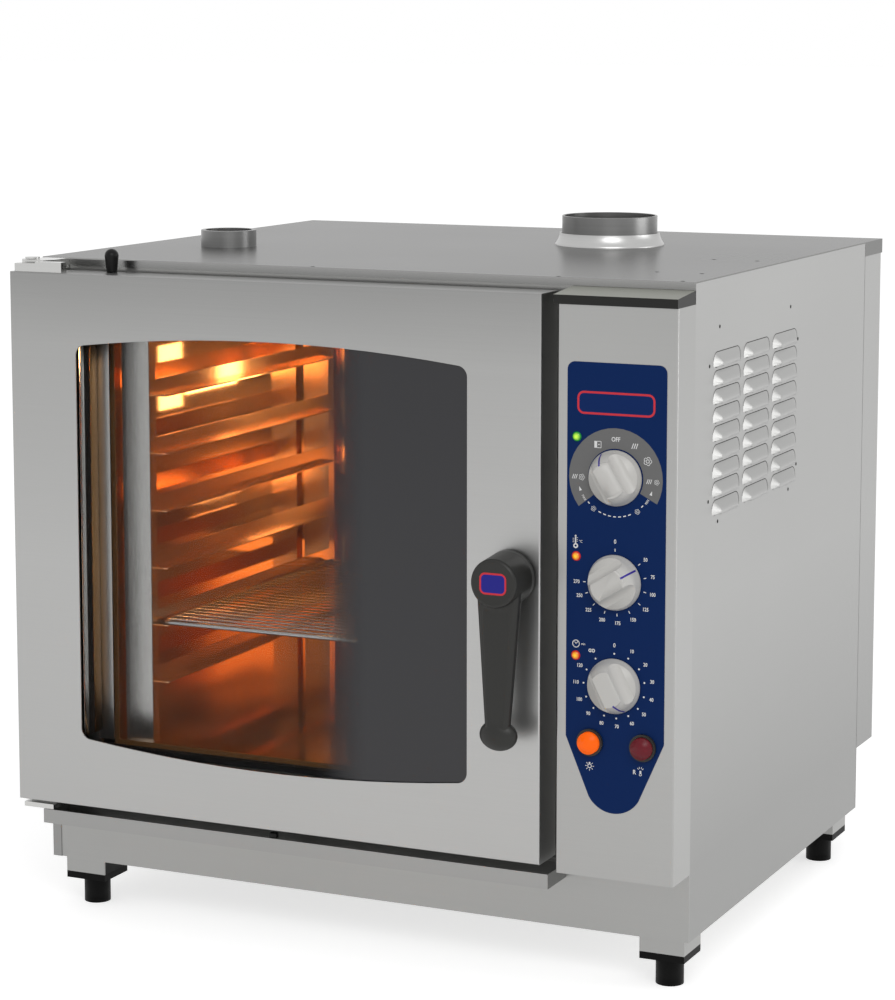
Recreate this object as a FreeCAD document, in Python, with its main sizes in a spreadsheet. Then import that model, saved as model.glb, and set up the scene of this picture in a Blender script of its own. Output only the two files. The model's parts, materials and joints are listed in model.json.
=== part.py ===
import FreeCAD, Part
import Sketcher
import math
import os
from FreeCAD import Rotation, Vector

# A counter-top combi steamer oven: a sheet-metal casing on four feet, a lined and insulated cooking
# cavity with tray racks and a fan, a glazed door hung on the left with a turning handle, and a
# control box on the right.  Every length is in millimetres.
#
# The pieces are drawn in the casing's frame: X from the casing's left side, Y from the front edge of
# its side panels towards the back, Z from the floor.  Each finished piece is then moved by the same
# two distances, which bring the origin to the middle of the footprint.

SIZES = {
    # casing
    "casing_width": 852.0,
    "casing_height": 757.3,
    "side_depth": 642.5,
    "rear_cover_depth": 76.9,
    "sheet_gauge": 1.5,
    "return_flange": 12.0,
    "top_lip": 9.0,
    "rear_lip": 18.5,
    "plinth_height": 80.0,
    "plinth_inset": 20.6,
    # legs and feet
    "foot_height": 33.2,
    "foot_diameter": 33.0,
    "foot_chamfer": 3.0,
    "pad_thickness": 8.5,
    "leg_height": 20.0,
    "leg_width": 55.0,
    "leg_wall": 2.0,
    "leg_side_inset": 8.5,
    "leg_left_inset": 15.0,
    "leg_front_inset": 7.5,
    "leg_rear_inset": 17.5,
    # louvres in the right side panel
    "louvre_length": 92.0,
    "louvre_height": 15.0,
    "louvre_rise": 6.0,
    "louvre_end_slope": 17.0,
    "louvre_top_slope": 11.0,
    "louvre_lip_corner": 3.0,
    "louvre_wall": 1.2,
    "louvre_pitch_up": 21.3,
    "louvre_pitch_back": 104.5,
    "louvre_rows": 9,
    "louvre_columns": 3,
    "louvre_first_back": 60.0,
    "louvre_first_up": 486.5,
    # cooking cavity
    "cavity_left": 99.0,
    "fan_space": 61.0,
    "cavity_up": 160.0,
    "cavity_head_room": 57.3,
    "cavity_depth": 555.0,
    "cavity_wall": 1.5,
    "frame_gauge": 2.0,
    "insulation_thickness": 40.0,
    "gasket_width": 14.0,
    "gasket_margin": 6.0,
    # racks and wire shelf
    "tray_width": 325.0,
    "tray_side_gap": 1.0,
    "rack_gap": 6.0,
    "post_width": 38.0,
    "post_depth": 16.0,
    "post_wall": 1.5,
    "front_post_back": 8.0,
    "rear_post_back": 487.0,
    "rail_ledge": 14.0,
    "rail_face": 21.0,
    "rail_gauge": 1.5,
    "rail_pitch": 71.4,
    "rail_first_up": 71.5,
    "hook_diameter": 8.0,
    "hook_drop": 28.0,
    "rim_wire": 6.0,
    "shelf_wire": 3.0,
    "shelf_wire_count": 26,
    "shelf_level": 1,
    # fan
    "baffle_gauge": 1.5,
    "baffle_gap": 1.5,
    "baffle_end_gap": 26.0,
    "baffle_rim": 12.0,
    "intake_radius": 92.0,
    "intake_slots": 14,
    "intake_slot_width": 16.0,
    "intake_hub": 30.0,
    "fan_back": 280.0,
    "impeller_radius": 145.0,
    "impeller_width": 48.0,
    "impeller_gap": 12.0,
    "impeller_plate": 2.0,
    "impeller_blades": 16,
    "blade_length": 42.0,
    "blade_thickness": 2.0,
    "blade_angle": 30.0,
    "impeller_hub_radius": 20.0,
    "shaft_diameter": 14.0,
    "running_clearance": 0.05,
    "motor_radius": 62.0,
    "motor_length": 130.0,
    "motor_nose_radius": 30.0,
    "motor_shaft_depth": 60.0,
    # heat exchanger and water
    "heater_radius": 182.0,
    "heater_tube": 13.0,
    "heater_riser": 22.0,
    "heater_pitch": 34.0,
    "water_pipe": 8.0,
    "water_pipe_bend": 22.0,
    "valve_width": 42.0,
    "valve_height": 56.0,
    "drain_diameter": 32.0,
    "drain_wall": 1.5,
    "drain_bend": 40.0,
    "drain_up": 40.0,
    "drain_reach": 34.0,
    "water_spigot": 26.4,
    "water_spigot_length": 26.0,
    "gas_spigot": 21.0,
    "gas_spigot_length": 26.0,
    "lock_nut_rim": 4.0,
    "lock_nut_length": 5.0,
    "service_up": 40.0,
    "water_side": 150.0,
    "gas_side": 330.0,
    "cable_side": 60.0,
    "gland_outer": 40.0,
    "gland_bore": 18.0,
    "gland_reach": 22.0,
    # lamps
    "lamp_radius": 27.0,
    "lamp_depth": 46.0,
    "lamp_back": 200.0,
    "lamp_pitch": 170.0,
    "lamp_glass": 5.0,
    "lamp_rim": 6.0,
    "lamp_bulb": 11.0,
    # flue and steam vent
    "flue_diameter": 123.0,
    "flue_height": 38.0,
    "flue_wall": 1.5,
    "flue_neck": 1.5,
    "flue_side": 9.0,
    "flue_back": 7.0,
    "collar_gap": 2.0,
    "collar_foot": 9.0,
    "collar_height": 16.0,
    "vent_diameter": 63.0,
    "vent_height": 21.0,
    "vent_side": 124.5,
    "vent_back": 245.0,
    "vent_wall": 1.5,
    "vent_ring": 4.0,
    "vent_ring_height": 4.0,
    # door
    "door_overhang": 8.9,
    "door_control_gap": 17.2,
    "door_up": 87.9,
    "door_head_gap": 13.9,
    "door_thickness": 57.9,
    "door_gap": 4.0,
    "liner_depth": 9.5,
    "liner_inset": 7.0,
    "liner_border": 52.0,
    "bend_radius": 2.0,
    "window_side": 91.9,
    "window_far_side": 90.8,
    "window_up": 86.5,
    "window_over": 87.0,
    "window_arch": 16.5,
    "window_corner": 13.0,
    "glass_thickness": 4.0,
    "glass_border": 14.0,
    "glass_seal": 1.5,
    "inner_glass_seal": 8.0,
    "peg_diameter": 17.0,
    "peg_height": 28.6,
    "peg_side": 112.0,
    "peg_back": 23.0,
    # hinges
    "pivot_side": 4.0,
    "pivot_back": 30.0,
    "pivot_radius": 5.0,
    "eye_radius": 13.0,
    "hinge_thickness": 7.5,
    "hinge_top_thickness": 13.0,
    "hinge_arm_width": 26.0,
    "hinge_root_left": 6.0,
    "hinge_root_right": 38.0,
    "hinge_arm_waist": 34.0,
    "hinge_clearance": 0.4,
    "pin_head": 2.0,
    "hinge_plate_side": 5.0,
    "hinge_plate_front": 4.0,
    "hinge_plate_depth": 12.0,
    "hinge_plate_length": 29.0,
    "hinge_plate_height": 10.0,
    "hinge_bar_length": 37.0,
    "hinge_bar_height": 12.5,
    "hinge_foot_height": 6.0,
    "hinge_foot_drop": 10.2,
    # handle and latch
    "handle_side": 35.5,
    "handle_up": 333.0,
    "hub_diameter": 62.5,
    "hub_front_diameter": 56.5,
    "hub_reach": 52.0,
    "hub_neck": 6.0,
    "hub_neck_inset": 5.0,
    "hub_rim": 4.5,
    "lever_length": 167.5,
    "lever_root_width": 55.0,
    "lever_waist_width": 42.5,
    "lever_end_width": 30.0,
    "lever_thickness": 18.0,
    "lever_end_thickness": 14.0,
    "lever_setback": 10.0,
    "lever_end_setback": 8.0,
    "grip_setback": 2.0,
    "grip_up": 18.0,
    "grip_across": 23.0,
    "grip_deep": 12.0,
    "latch_shaft": 14.0,
    "latch_reach": 13.0,
    "latch_length": 22.0,
    "latch_thickness": 6.0,
    "keeper_room": 2.0,
    "keeper_depth": 22.0,
    "keeper_width": 40.0,
    # control box
    "control_width": 143.0,
    "control_depth": 54.5,
    "control_head_gap": 24.8,
    "panel_drop": 732.5,
    "cap_thickness": 10.5,
    "cap_rise": 5.0,
    "cap_overhang": 2.5,
    "cap_side_overhang": 5.0,
    "overlay_thickness": 0.5,
    "overlay_side": 12.0,
    "overlay_width": 118.5,
    "overlay_top": 669.0,
    "overlay_shoulder": 242.0,
    "overlay_waist": 174.0,
    "overlay_waist_width": 60.0,
    "overlay_foot": 157.0,
    "overlay_corner": 9.0,
    "knob_side": 70.5,
    "knob_top_up": 540.5,
    "knob_pitch": 118.1,
    "knob_diameter": 63.0,
    "knob_height": 24.0,
    "knob_skirt": 7.0,
    "knob_taper": 2.2,
    "knob_crown": 21.0,
    "knob_ridge": 21.0,
    "scoop_foot": 19.5,
    "scoop_radius": 12.0,
    "scoop_fall": 1.5,
    "knob_gap": 1.0,
    "mode_pointer": -31.0,
    "thermostat_pointer": 58.0,
    "timer_pointer": 153.0,
    "spindle_diameter": 6.0,
    "spindle_length": 46.0,
    "switch_width": 46.0,
    "switch_depth": 34.0,
    "spindle_hole": 5.0,
    "pilot_side": 23.7,
    "pilot_diameter": 11.0,
    "pilot_rise": 3.0,
    "pilot_top_up": 584.6,
    "pilot_mid_up": 449.0,
    "pilot_low_up": 335.5,
    "button_up": 237.0,
    "button_side": 42.0,
    "button_pitch": 64.0,
    "button_diameter": 25.0,
    "button_rise": 9.0,
    "button_travel": 3.5,
    "bezel_diameter": 31.0,
    "bezel_rise": 4.0,
    "plunger_diameter": 8.0,
    "plunger_length": 24.0,
    "contact_width": 24.0,
    "contact_depth": 24.0,
    "button_neck": 8.0,
    # drip gutter
    "gutter_left": 22.5,
    "gutter_length": 677.5,
    "gutter_depth": 54.5,
    "gutter_up": 59.0,
    "gutter_height": 17.5,
}

doc = FreeCAD.newDocument("combi_steamer_oven")
sheet = doc.addObject("Spreadsheet::Sheet", "Sizes")
for line, (alias, number) in enumerate(SIZES.items(), 1):
    sheet.set(f"A{line}", alias)
    sheet.set(f"B{line}", str(number))
    sheet.setAlias(f"B{line}", alias)
doc.recompute()


class Measure:
    """A number and the spreadsheet formula that gives it, so both can be worked out together."""

    def __init__(self, value, formula=None):
        self.value = value
        self.formula = formula or repr(value)

    def __add__(self, other):
        other = measure(other)
        return Measure(self.value + other.value, f"({self.formula} + {other.formula})")

    def __sub__(self, other):
        other = measure(other)
        return Measure(self.value - other.value, f"({self.formula} - {other.formula})")

    def __mul__(self, other):
        other = measure(other)
        return Measure(self.value * other.value, f"({self.formula} * {other.formula})")

    def __truediv__(self, other):
        other = measure(other)
        return Measure(self.value / other.value, f"({self.formula} / {other.formula})")

    def __neg__(self):
        return Measure(-self.value, f"(-{self.formula})")

    def __radd__(self, other):
        return measure(other) + self

    def __rsub__(self, other):
        return measure(other) - self

    def __rmul__(self, other):
        return measure(other) * self


def measure(number):
    return number if isinstance(number, Measure) else Measure(float(number))


class Sheet:
    """Gives each spreadsheet alias as a Measure."""

    def __getattr__(self, alias):
        return Measure(SIZES[alias], f"Sizes.{alias}")


size = Sheet()
ZERO = measure(0)


# ---------------------------------------------------------------- tools for building the pieces

def bind(item, name, amount):
    item.setExpression(name, measure(amount).formula)


def place(item, x, y, z):
    for axis, amount in zip("xyz", (x, y, z)):
        bind(item, f"Placement.Base.{axis}", amount)


def box(name, low, high):
    item = doc.addObject("Part::Box", name)
    for side, start, end in zip(("Length", "Width", "Height"), low, high):
        bind(item, side, measure(end) - start)
    place(item, *low)
    return item


TURNS = {
    "x": Rotation(Vector(0, 1, 0), 90),
    "y": Rotation(Vector(1, 0, 0), -90),
    "z": Rotation(),
}


def rod(name, start, radius, length, along="z"):
    item = doc.addObject("Part::Cylinder", name)
    item.Placement.Rotation = TURNS[along]
    bind(item, "Radius", radius)
    bind(item, "Height", length)
    place(item, *start)
    return item


def ring(name, start, outer, inner, length, along="z"):
    hole = rod(f"{name}_hole", start, inner, length, along)
    return cut(name, rod(f"{name}_outside", start, outer, length, along), hole)


def join(name, *items):
    item = doc.addObject("Part::MultiFuse", name)
    item.Shapes = list(items)
    item.Refine = True
    return item


def cut(name, base, *tools):
    item = doc.addObject("Part::Cut", name)
    item.Base = base
    item.Tool = tools[0] if len(tools) == 1 else group(f"{name}_tools", *tools)
    return item


def group(name, *items):
    item = doc.addObject("Part::Compound", name)
    item.Links = list(items)
    return item


def new_body(name):
    return doc.addObject("PartDesign::Body", name)


def new_sketch(body, name, plane, offset=ZERO):
    """A sketch on one of the body's origin planes, moved along that plane's normal."""
    sketch = body.newObject("Sketcher::SketchObject", name)
    support = next(item for item in body.Origin.OriginFeatures if item.Role == f"{plane}_Plane")
    sketch.AttachmentSupport = [(support, "")]
    sketch.MapMode = "FlatFace"
    bind(sketch, "AttachmentOffset.Base.z", offset)
    return sketch


def dimension(sketch, kind, amount, *where):
    number = sketch.addConstraint(Sketcher.Constraint(kind, *where, amount.value))
    sketch.setExpression(f"Constraints[{number}]", amount.formula)


def draw_circle(sketch, x, y, radius):
    x, y, radius = measure(x), measure(y), measure(radius)
    centre = Vector(x.value, y.value, 0)
    number = sketch.addGeometry(Part.Circle(centre, Vector(0, 0, 1), radius.value))
    dimension(sketch, "Radius", radius, number)
    dimension(sketch, "DistanceX", x, -1, 1, number, 3)
    dimension(sketch, "DistanceY", y, -1, 1, number, 3)


def arc_through(start, end, radius, turn):
    """The short arc from start to end; turn is 1 when it runs anticlockwise, -1 when clockwise."""
    half = (end - start) / 2
    sideways = Vector(-half.y, half.x, 0).normalize() * turn
    centre = start + half + sideways * math.sqrt(max(radius ** 2 - half.Length ** 2, 0))
    return Part.Arc(start, centre - sideways * radius, end)


def draw_outline(sketch, corners):
    """A closed outline.  A corner is (x, y), or (x, y, radius, turn) when an arc leads to it."""
    corners = [tuple(measure(number) for number in corner) for corner in corners]
    points = [Vector(corner[0].value, corner[1].value, 0) for corner in corners]
    ends = []
    for index, corner in enumerate(corners):
        start, end = points[index - 1], points[index]
        if len(corner) == 2:
            number = sketch.addGeometry(Part.LineSegment(start, end))
            ends.append((number, 1, 2))
        else:
            radius, turn = corner[2:]
            number = sketch.addGeometry(arc_through(start, end, radius.value, turn.value))
            ends.append((number, 1, 2) if turn.value > 0 else (number, 2, 1))
    for index, (number, _, last) in enumerate(ends):
        following, first, _ = ends[(index + 1) % len(ends)]
        sketch.addConstraint(Sketcher.Constraint("Coincident", number, last, following, first))
        dimension(sketch, "DistanceX", corners[index][0], -1, 1, number, last)
        dimension(sketch, "DistanceY", corners[index][1], -1, 1, number, last)
        if len(corners[index]) > 2:
            dimension(sketch, "Radius", corners[index][2], number)


def draw_rectangle(sketch, left, low, right, high):
    draw_outline(sketch, [(left, low), (right, low), (right, high), (left, high)])


def extrude(body, kind, sketch, length, backwards=False):
    feature = body.newObject(f"PartDesign::{kind}", f"{sketch.Name}_{kind.lower()}")
    feature.Profile = sketch
    bind(feature, "Length", length)
    feature.Reversed = backwards
    return feature


def pad(body, sketch, length, backwards=False):
    return extrude(body, "Pad", sketch, length, backwards)


def pocket(body, sketch, length, backwards=False):
    return extrude(body, "Pocket", sketch, length, backwards)


def revolve(body, sketch, kind="Revolution"):
    feature = body.newObject(f"PartDesign::{kind}", f"{sketch.Name}_{kind.lower()}")
    feature.Profile = sketch
    feature.ReferenceAxis = (sketch, ["V_Axis"])
    feature.Angle = 360
    return feature


def round_edges(body, name, radius, wanted):
    """Fillets the edges of the body's last feature whose middle point passes the test."""
    doc.recompute()
    base = body.Tip
    names = [
        f"Edge{index}"
        for index, edge in enumerate(base.Shape.Edges, 1)
        if wanted(edge, edge.valueAt((edge.FirstParameter + edge.LastParameter) / 2))
    ]
    feature = body.newObject("PartDesign::Fillet", name)
    feature.Base = (base, names)
    bind(feature, "Radius", radius)
    return feature


def repeat(body, kind, name, features, direction, extent, count):
    """A linear or polar pattern of features; extent is the whole length or angle it covers."""
    pattern = body.newObject(f"PartDesign::{kind}", name)
    pattern.Originals = features
    if kind == "PolarPattern":
        pattern.Axis = direction
        pattern.Angle = extent
    else:
        pattern.Direction = direction
        bind(pattern, "Length", extent)
    bind(pattern, "Occurrences", count)
    body.Tip = pattern
    return pattern


def pipe(name, points, radius, bend, wall=None):
    """A round pipe along straight runs that are joined by tangent arcs."""
    points = [Vector(*(measure(number).value for number in point)) for point in points]
    bend = bend.value
    edges, here = [], points[0]
    for before, corner, after in zip(points, points[1:], points[2:]):
        into, out = (corner - before).normalize(), (after - corner).normalize()
        reach = bend * math.tan(into.getAngle(out) / 2)
        start, end = corner - into * reach, corner + out * reach
        centre = start + (out - into * into.dot(out)).normalize() * bend
        middle = centre + (corner - centre).normalize() * bend
        edges += [Part.LineSegment(here, start).toShape(), Part.Arc(start, middle, end).toShape()]
        here = end
    edges.append(Part.LineSegment(here, points[-1]).toShape())
    path = Part.Wire(edges)
    heading = points[1] - points[0]

    def sweep(amount):
        circle = Part.Wire(Part.makeCircle(amount, points[0], heading))
        return Part.Wire(path.Edges).makePipeShell([circle], True, False)

    shape = sweep(radius.value)
    if wall is not None:
        shape = shape.cut(sweep(radius.value - wall.value))
    item = doc.addObject("Part::Feature", name)
    item.Shape = shape
    return item


NODES = []


def keep(item, label, at=(ZERO, ZERO, ZERO)):
    """Names a finished piece and moves it from the casing's frame to the footprint's middle."""
    if item.TypeId in ("Part::Box", "Part::Cylinder"):
        item.Label = f"{label}_solid"
        item = group(f"{label}_piece", item)
    item.Label = label
    place(item, at[0] + shift_x, at[1] + shift_y, at[2])
    NODES.append(item)
    return item


# ---------------------------------------------------------------- places worked out from the sizes

gauge = size.sheet_gauge
base_z = size.foot_height + size.pad_thickness + size.leg_height
top_z = base_z + size.casing_height
cover_z = top_z - gauge
plinth_z = base_z + size.plinth_height
casing_right = size.casing_width
casing_back = size.side_depth + size.rear_cover_depth

# across the cavity: the trays between their racks, then the baffle and the fan
rack_left = size.cavity_left + size.rack_gap
tray_left = rack_left + size.post_width + size.tray_side_gap
tray_right = tray_left + size.tray_width
rack_right = tray_right + size.tray_side_gap + size.post_width
baffle_x = rack_right + size.baffle_gap
impeller_x = baffle_x + size.baffle_gauge + size.impeller_gap
cavity_right = impeller_x + size.fan_space

cavity_z = base_z + size.cavity_up
cavity_top = top_z - size.cavity_head_room
cavity_front = size.frame_gauge
cavity_back = cavity_front + size.cavity_depth
shell_right = cavity_right + size.cavity_wall
shell_top = cavity_top + size.cavity_wall
wool_right = shell_right + size.insulation_thickness
wool_top = shell_top + size.insulation_thickness
fan_z = (cavity_z + cavity_top) / 2


def rail_z(level):
    return cavity_z + size.rail_first_up + size.rail_pitch * level


# as many tray levels as the cavity has room for
rack_head = size.rail_face + size.hook_drop / 2
rail_levels = 1 + int((cavity_top - rack_head - rail_z(0)).value / size.rail_pitch.value)
rack_top = rail_z(rail_levels - 1) + rack_head

control_left = casing_right - size.control_width
control_front = -size.control_depth
control_top = top_z - size.control_head_gap
overlay_front = control_front - size.overlay_thickness
panel_z = control_top - size.panel_drop
knob_x = control_left + size.knob_side

door_left = -size.door_overhang
door_right = control_left - size.door_control_gap
door_z = base_z + size.door_up
door_top = top_z - size.door_head_gap
door_back = -size.door_gap
door_front = door_back - size.door_thickness
liner_front = door_back - size.liner_depth
window_left = door_left + size.window_side
window_right = door_right - size.window_far_side
window_z = door_z + size.window_up
window_top = door_top - size.window_over
handle_x = door_right - size.handle_side
handle_z = door_z + size.handle_up
handle_front = door_front - size.hub_reach

vent_bore = size.vent_diameter / 2 - size.vent_wall
drain_bore = size.drain_diameter / 2 - size.drain_wall
drain_y = cavity_front + size.cavity_depth / 2
water_y = cavity_back - 2 * size.water_pipe_bend
riser_x = impeller_x + size.heater_pitch / 2 + size.heater_tube
riser_y = size.fan_back + size.heater_radius
flue_x = riser_x + size.flue_side
flue_y = riser_y + size.flue_back

shift_x = -(casing_right + size.louvre_rise + door_left) / 2
shift_y = -(casing_back + handle_front) / 2


# ---------------------------------------------------------------- casing

def side_panel(label, outer_x, inward):
    """A folded sheet: the wall with a narrow return at its front and back edges."""
    wall, fold = inward * gauge, inward * size.return_flange
    body = new_body(label)
    section = new_sketch(body, f"{label}_section", "XY", base_z)
    draw_outline(section, [
        (outer_x, 0), (outer_x + fold, 0), (outer_x + fold, gauge), (outer_x + wall, gauge),
        (outer_x + wall, size.side_depth - gauge), (outer_x + fold, size.side_depth - gauge),
        (outer_x + fold, size.side_depth), (outer_x, size.side_depth),
    ])
    pad(body, section, cover_z - base_z)
    return body


def louvre_outline(sketch, ends, top, corner, drop):
    """A hood seen from the side of the casing: a flat mouth below, rounded shoulders above."""
    low = base_z + size.louvre_first_up - drop
    high = base_z + size.louvre_first_up + size.louvre_height - top
    front = size.louvre_first_back + ends
    back = size.louvre_first_back + size.louvre_length - ends
    level = high - corner
    draw_outline(sketch, [
        (front, low), (back, low), (back, level),
        (back - corner, high, corner, 1), (front + corner, high), (front, level, corner, 1),
    ])


def add_louvres(body):
    """Pressed hoods, open along their lower edge, in rows and columns."""
    sketches = []
    wall, lip = size.louvre_wall, size.louvre_lip_corner
    shoulder = size.louvre_height - lip
    ends, top = size.louvre_end_slope, size.louvre_top_slope
    for name, offset, outline in (
        ("hood_foot", casing_right, (ZERO, ZERO, shoulder, wall)),
        ("hood_crest", casing_right + size.louvre_rise, (ends, top, lip, wall)),
        ("mouth_foot", casing_right - gauge, (wall * 2, wall, shoulder - wall, wall * 2)),
        ("mouth_crest", casing_right + size.louvre_rise - wall, (ends + wall * 2, top + wall, lip - wall, wall * 2)),
    ):
        sketch = new_sketch(body, name, "YZ", offset)
        louvre_outline(sketch, *outline)
        sketches.append(sketch)
    hood = body.newObject("PartDesign::AdditiveLoft", "hood")
    hood.Profile, hood.Sections, hood.Ruled = sketches[0], [sketches[1]], True
    mouth = body.newObject("PartDesign::SubtractiveLoft", "mouth")
    mouth.Profile, mouth.Sections, mouth.Ruled = sketches[2], [sketches[3]], True
    doc.recompute()
    pattern = body.newObject("PartDesign::MultiTransform", "louvres")
    pattern.Originals = [hood, mouth]
    rows = body.newObject("PartDesign::LinearPattern", "louvre_rows")
    rows.Direction = (sketches[0], ["V_Axis"])
    bind(rows, "Length", size.louvre_pitch_up * (size.louvre_rows - 1))
    bind(rows, "Occurrences", size.louvre_rows)
    columns = body.newObject("PartDesign::LinearPattern", "louvre_columns")
    columns.Direction = (sketches[0], ["H_Axis"])
    bind(columns, "Length", size.louvre_pitch_back * (size.louvre_columns - 1))
    bind(columns, "Occurrences", size.louvre_columns)
    pattern.Transformations = [rows, columns]
    body.Tip = pattern


def make_side_panels():
    keep(side_panel("left_side_panel", ZERO, 1), "left_side_panel")
    right = side_panel("right_side_panel", casing_right, -1)
    add_louvres(right)
    keep(right, "right_side_panel")


def make_top_cover():
    """A lid with a short lip over the doorway and a deep lip over the rear cover."""
    body = new_body("top_cover")
    plate = new_sketch(body, "cover_plate", "XY", cover_z)
    draw_outline(plate, [
        (ZERO, -gauge), (casing_right, -gauge), (casing_right, casing_back), (ZERO, casing_back),
    ])
    pad(body, plate, gauge)
    lip = new_sketch(body, "cover_front_lip", "XY", top_z - size.top_lip)
    draw_rectangle(lip, ZERO, -gauge, casing_right, ZERO)
    pad(body, lip, size.top_lip - gauge)
    skirt = new_sketch(body, "cover_rear_skirt", "XY", top_z - size.rear_lip)
    draw_outline(skirt, [
        (ZERO, size.side_depth), (gauge, size.side_depth), (gauge, casing_back - gauge),
        (casing_right - gauge, casing_back - gauge), (casing_right - gauge, size.side_depth),
        (casing_right, size.side_depth), (casing_right, casing_back), (ZERO, casing_back),
    ])
    pad(body, skirt, size.rear_lip - gauge)
    round_edges(
        body, "cover_front_bend", gauge,
        lambda edge, middle: edge.Length > casing_right.value - 1
        and abs(middle.y + gauge.value) < 0.01 and abs(middle.z - top_z.value) < 0.01,
    )
    holes = new_sketch(body, "cover_holes", "XY", top_z)
    draw_circle(holes, flue_x, flue_y, size.flue_diameter / 2 - size.flue_neck)
    draw_circle(holes, size.vent_side, size.vent_back, size.vent_diameter / 2)
    pocket(body, holes, gauge * 2)
    keep(body, "top_cover")


def make_rear_cover():
    """An open pan that closes the back of the casing above the service panel."""
    left, right = gauge, casing_right - gauge
    front, back = size.side_depth, casing_back - gauge
    outside = box("rear_cover_outside", (left, front, plinth_z), (right, back, cover_z))
    inside = box(
        "rear_cover_inside",
        (left + gauge, front, plinth_z + gauge), (right - gauge, back - gauge, cover_z - gauge),
    )
    keep(cut("rear_cover", outside, inside), "rear_cover")


def make_base():
    """The floor tray, whose rear edge stands up as the service panel."""
    left, right = gauge, casing_right - gauge
    back = size.side_depth
    tray = box("base_tray", (left, gauge, base_z), (right, back - gauge, base_z + gauge))
    sill = box("base_sill", (size.plinth_inset, ZERO, base_z), (right + gauge - size.return_flange, gauge, base_z + gauge))
    panel = box(
        "service_panel",
        (size.return_flange, back - gauge, base_z), (right + gauge - size.return_flange, back, plinth_z),
    )
    holes = [
        rod(f"{name}_hole", (x, back - gauge * 2, z), radius, gauge * 3, "y")
        for name, x, z, radius in service_points()
    ]
    keep(cut("base_pan", join("base_pan_sheet", tray, sill, panel), *holes), "base_pan")


def service_points():
    """Name, side position, height and hole radius of each connection through the service panel."""
    up = base_z + size.service_up
    return [
        ("drain", cavity_left_middle(), base_z + size.drain_up, size.drain_diameter / 2),
        ("water", casing_right - size.water_side, up, size.water_spigot / 2),
        ("gas", casing_right - size.gas_side, up, size.gas_spigot / 2),
        ("cable", casing_right - size.cable_side, up, size.gland_outer / 2 - gland_shoulder),
    ]


def cavity_left_middle():
    """The drain lies under the middle of the tray space."""
    return tray_left + size.tray_width / 2


gland_shoulder = 4


def make_plinth():
    keep(box("plinth", (size.plinth_inset, -gauge, base_z), (casing_right, ZERO, plinth_z)), "plinth_front")


def make_gutter():
    """A trough under the door that catches what drips when the door is opened."""
    low, high = base_z + size.gutter_up, base_z + size.gutter_up + size.gutter_height
    front, back = -gauge - size.gutter_depth, -gauge
    body = new_body("drip_gutter")
    section = new_sketch(body, "gutter_section", "YZ", size.gutter_left)
    draw_outline(section, [
        (front, high), (front, low), (back, low), (back, high),
        (back - gauge, high), (back - gauge, low + gauge), (front + gauge, low + gauge),
        (front + gauge, high),
    ])
    pad(body, section, size.gutter_length)
    ends = new_sketch(body, "gutter_ends", "YZ", size.gutter_left)
    draw_rectangle(ends, front + gauge, low + gauge, back - gauge, high)
    first = pad(body, ends, gauge)
    doc.recompute()
    repeat(body, "LinearPattern", "gutter_far_end", [first], (ends, ["N_Axis"]), size.gutter_length - gauge, measure(2))
    keep(body, "drip_gutter")


def leg_places():
    """Corner of each leg nearest its outer side and the front, and which way it points inwards."""
    left, right = size.leg_left_inset, casing_right - size.leg_side_inset
    front, back = size.leg_front_inset, size.side_depth - size.leg_rear_inset - size.leg_width
    return [
        (f"{end}_{side}", x, y, inward)
        for end, y in (("front", front), ("rear", back))
        for side, x, inward in (("left", left, 1), ("right", right - size.leg_width, -1))
    ]


def make_legs():
    """Folded stubs under the base with a black pad and a round foot each."""
    stubs, pads, feet = [], [], []
    pad_z = size.foot_height
    stub_z = pad_z + size.pad_thickness
    width, wall = size.leg_width, size.leg_wall
    for name, x, y, inward in leg_places():
        outside = box(f"{name}_stub_outside", (x, y, stub_z), (x + width, y + width, base_z))
        open_left = x + wall if inward > 0 else x - wall
        hollow = box(
            f"{name}_stub_hollow", (open_left, y + wall, stub_z),
            (open_left + width, y + width + wall, base_z - wall),
        )
        stubs.append(cut(f"{name}_stub", outside, hollow))
        pads.append(box(f"{name}_pad", (x, y, pad_z), (x + width, y + width, stub_z)))
        post = rod(f"{name}_foot_post", (x + width / 2, y + width / 2, ZERO), size.foot_diameter / 2, pad_z)
        foot = doc.addObject("Part::Chamfer", f"{name}_foot")
        foot.Base = post
        foot.Edges = [(3, size.foot_chamfer.value, size.foot_chamfer.value)]
        feet.append(foot)
    keep(group("leg_brackets", *stubs), "leg_brackets")
    keep(group("feet", *pads, *feet), "feet")


# ---------------------------------------------------------------- cooking cavity

def latch_room(name):
    """The room that the latch keeper needs beside the cavity."""
    width, reach = size.keeper_width / 2 + gauge + size.keeper_room, size.latch_length + gauge * 2 + size.keeper_room
    return box(
        name, (handle_x - width, ZERO, handle_z - reach),
        (handle_x + width, cavity_front + size.keeper_depth + size.keeper_room, handle_z + reach),
    )


def five_walls(name, inner, thickness, holes):
    """Floor, ceiling, left, right and back walls round a room that is open to the front.

    inner is the room's lowest and highest corner, and holes gives the tools that go through each wall.
    """
    (left, front, floor), (right, back, ceiling) = inner
    low, high = floor - thickness, ceiling + thickness
    end = back + thickness
    walls = {
        "floor": ((left - thickness, front, low), (right + thickness, end, floor)),
        "ceiling": ((left - thickness, front, ceiling), (right + thickness, end, high)),
        "left": ((left - thickness, front, floor), (left, end, ceiling)),
        "right": ((right, front, floor), (right + thickness, end, ceiling)),
        "back": ((left, back, floor), (right, end, ceiling)),
    }
    pieces = []
    for side, corners in walls.items():
        wall = box(f"{name}_{side}", *corners)
        pieces.append(cut(f"{name}_{side}_sheet", wall, *holes[side]) if side in holes else wall)
    return group(name, *pieces)


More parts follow.
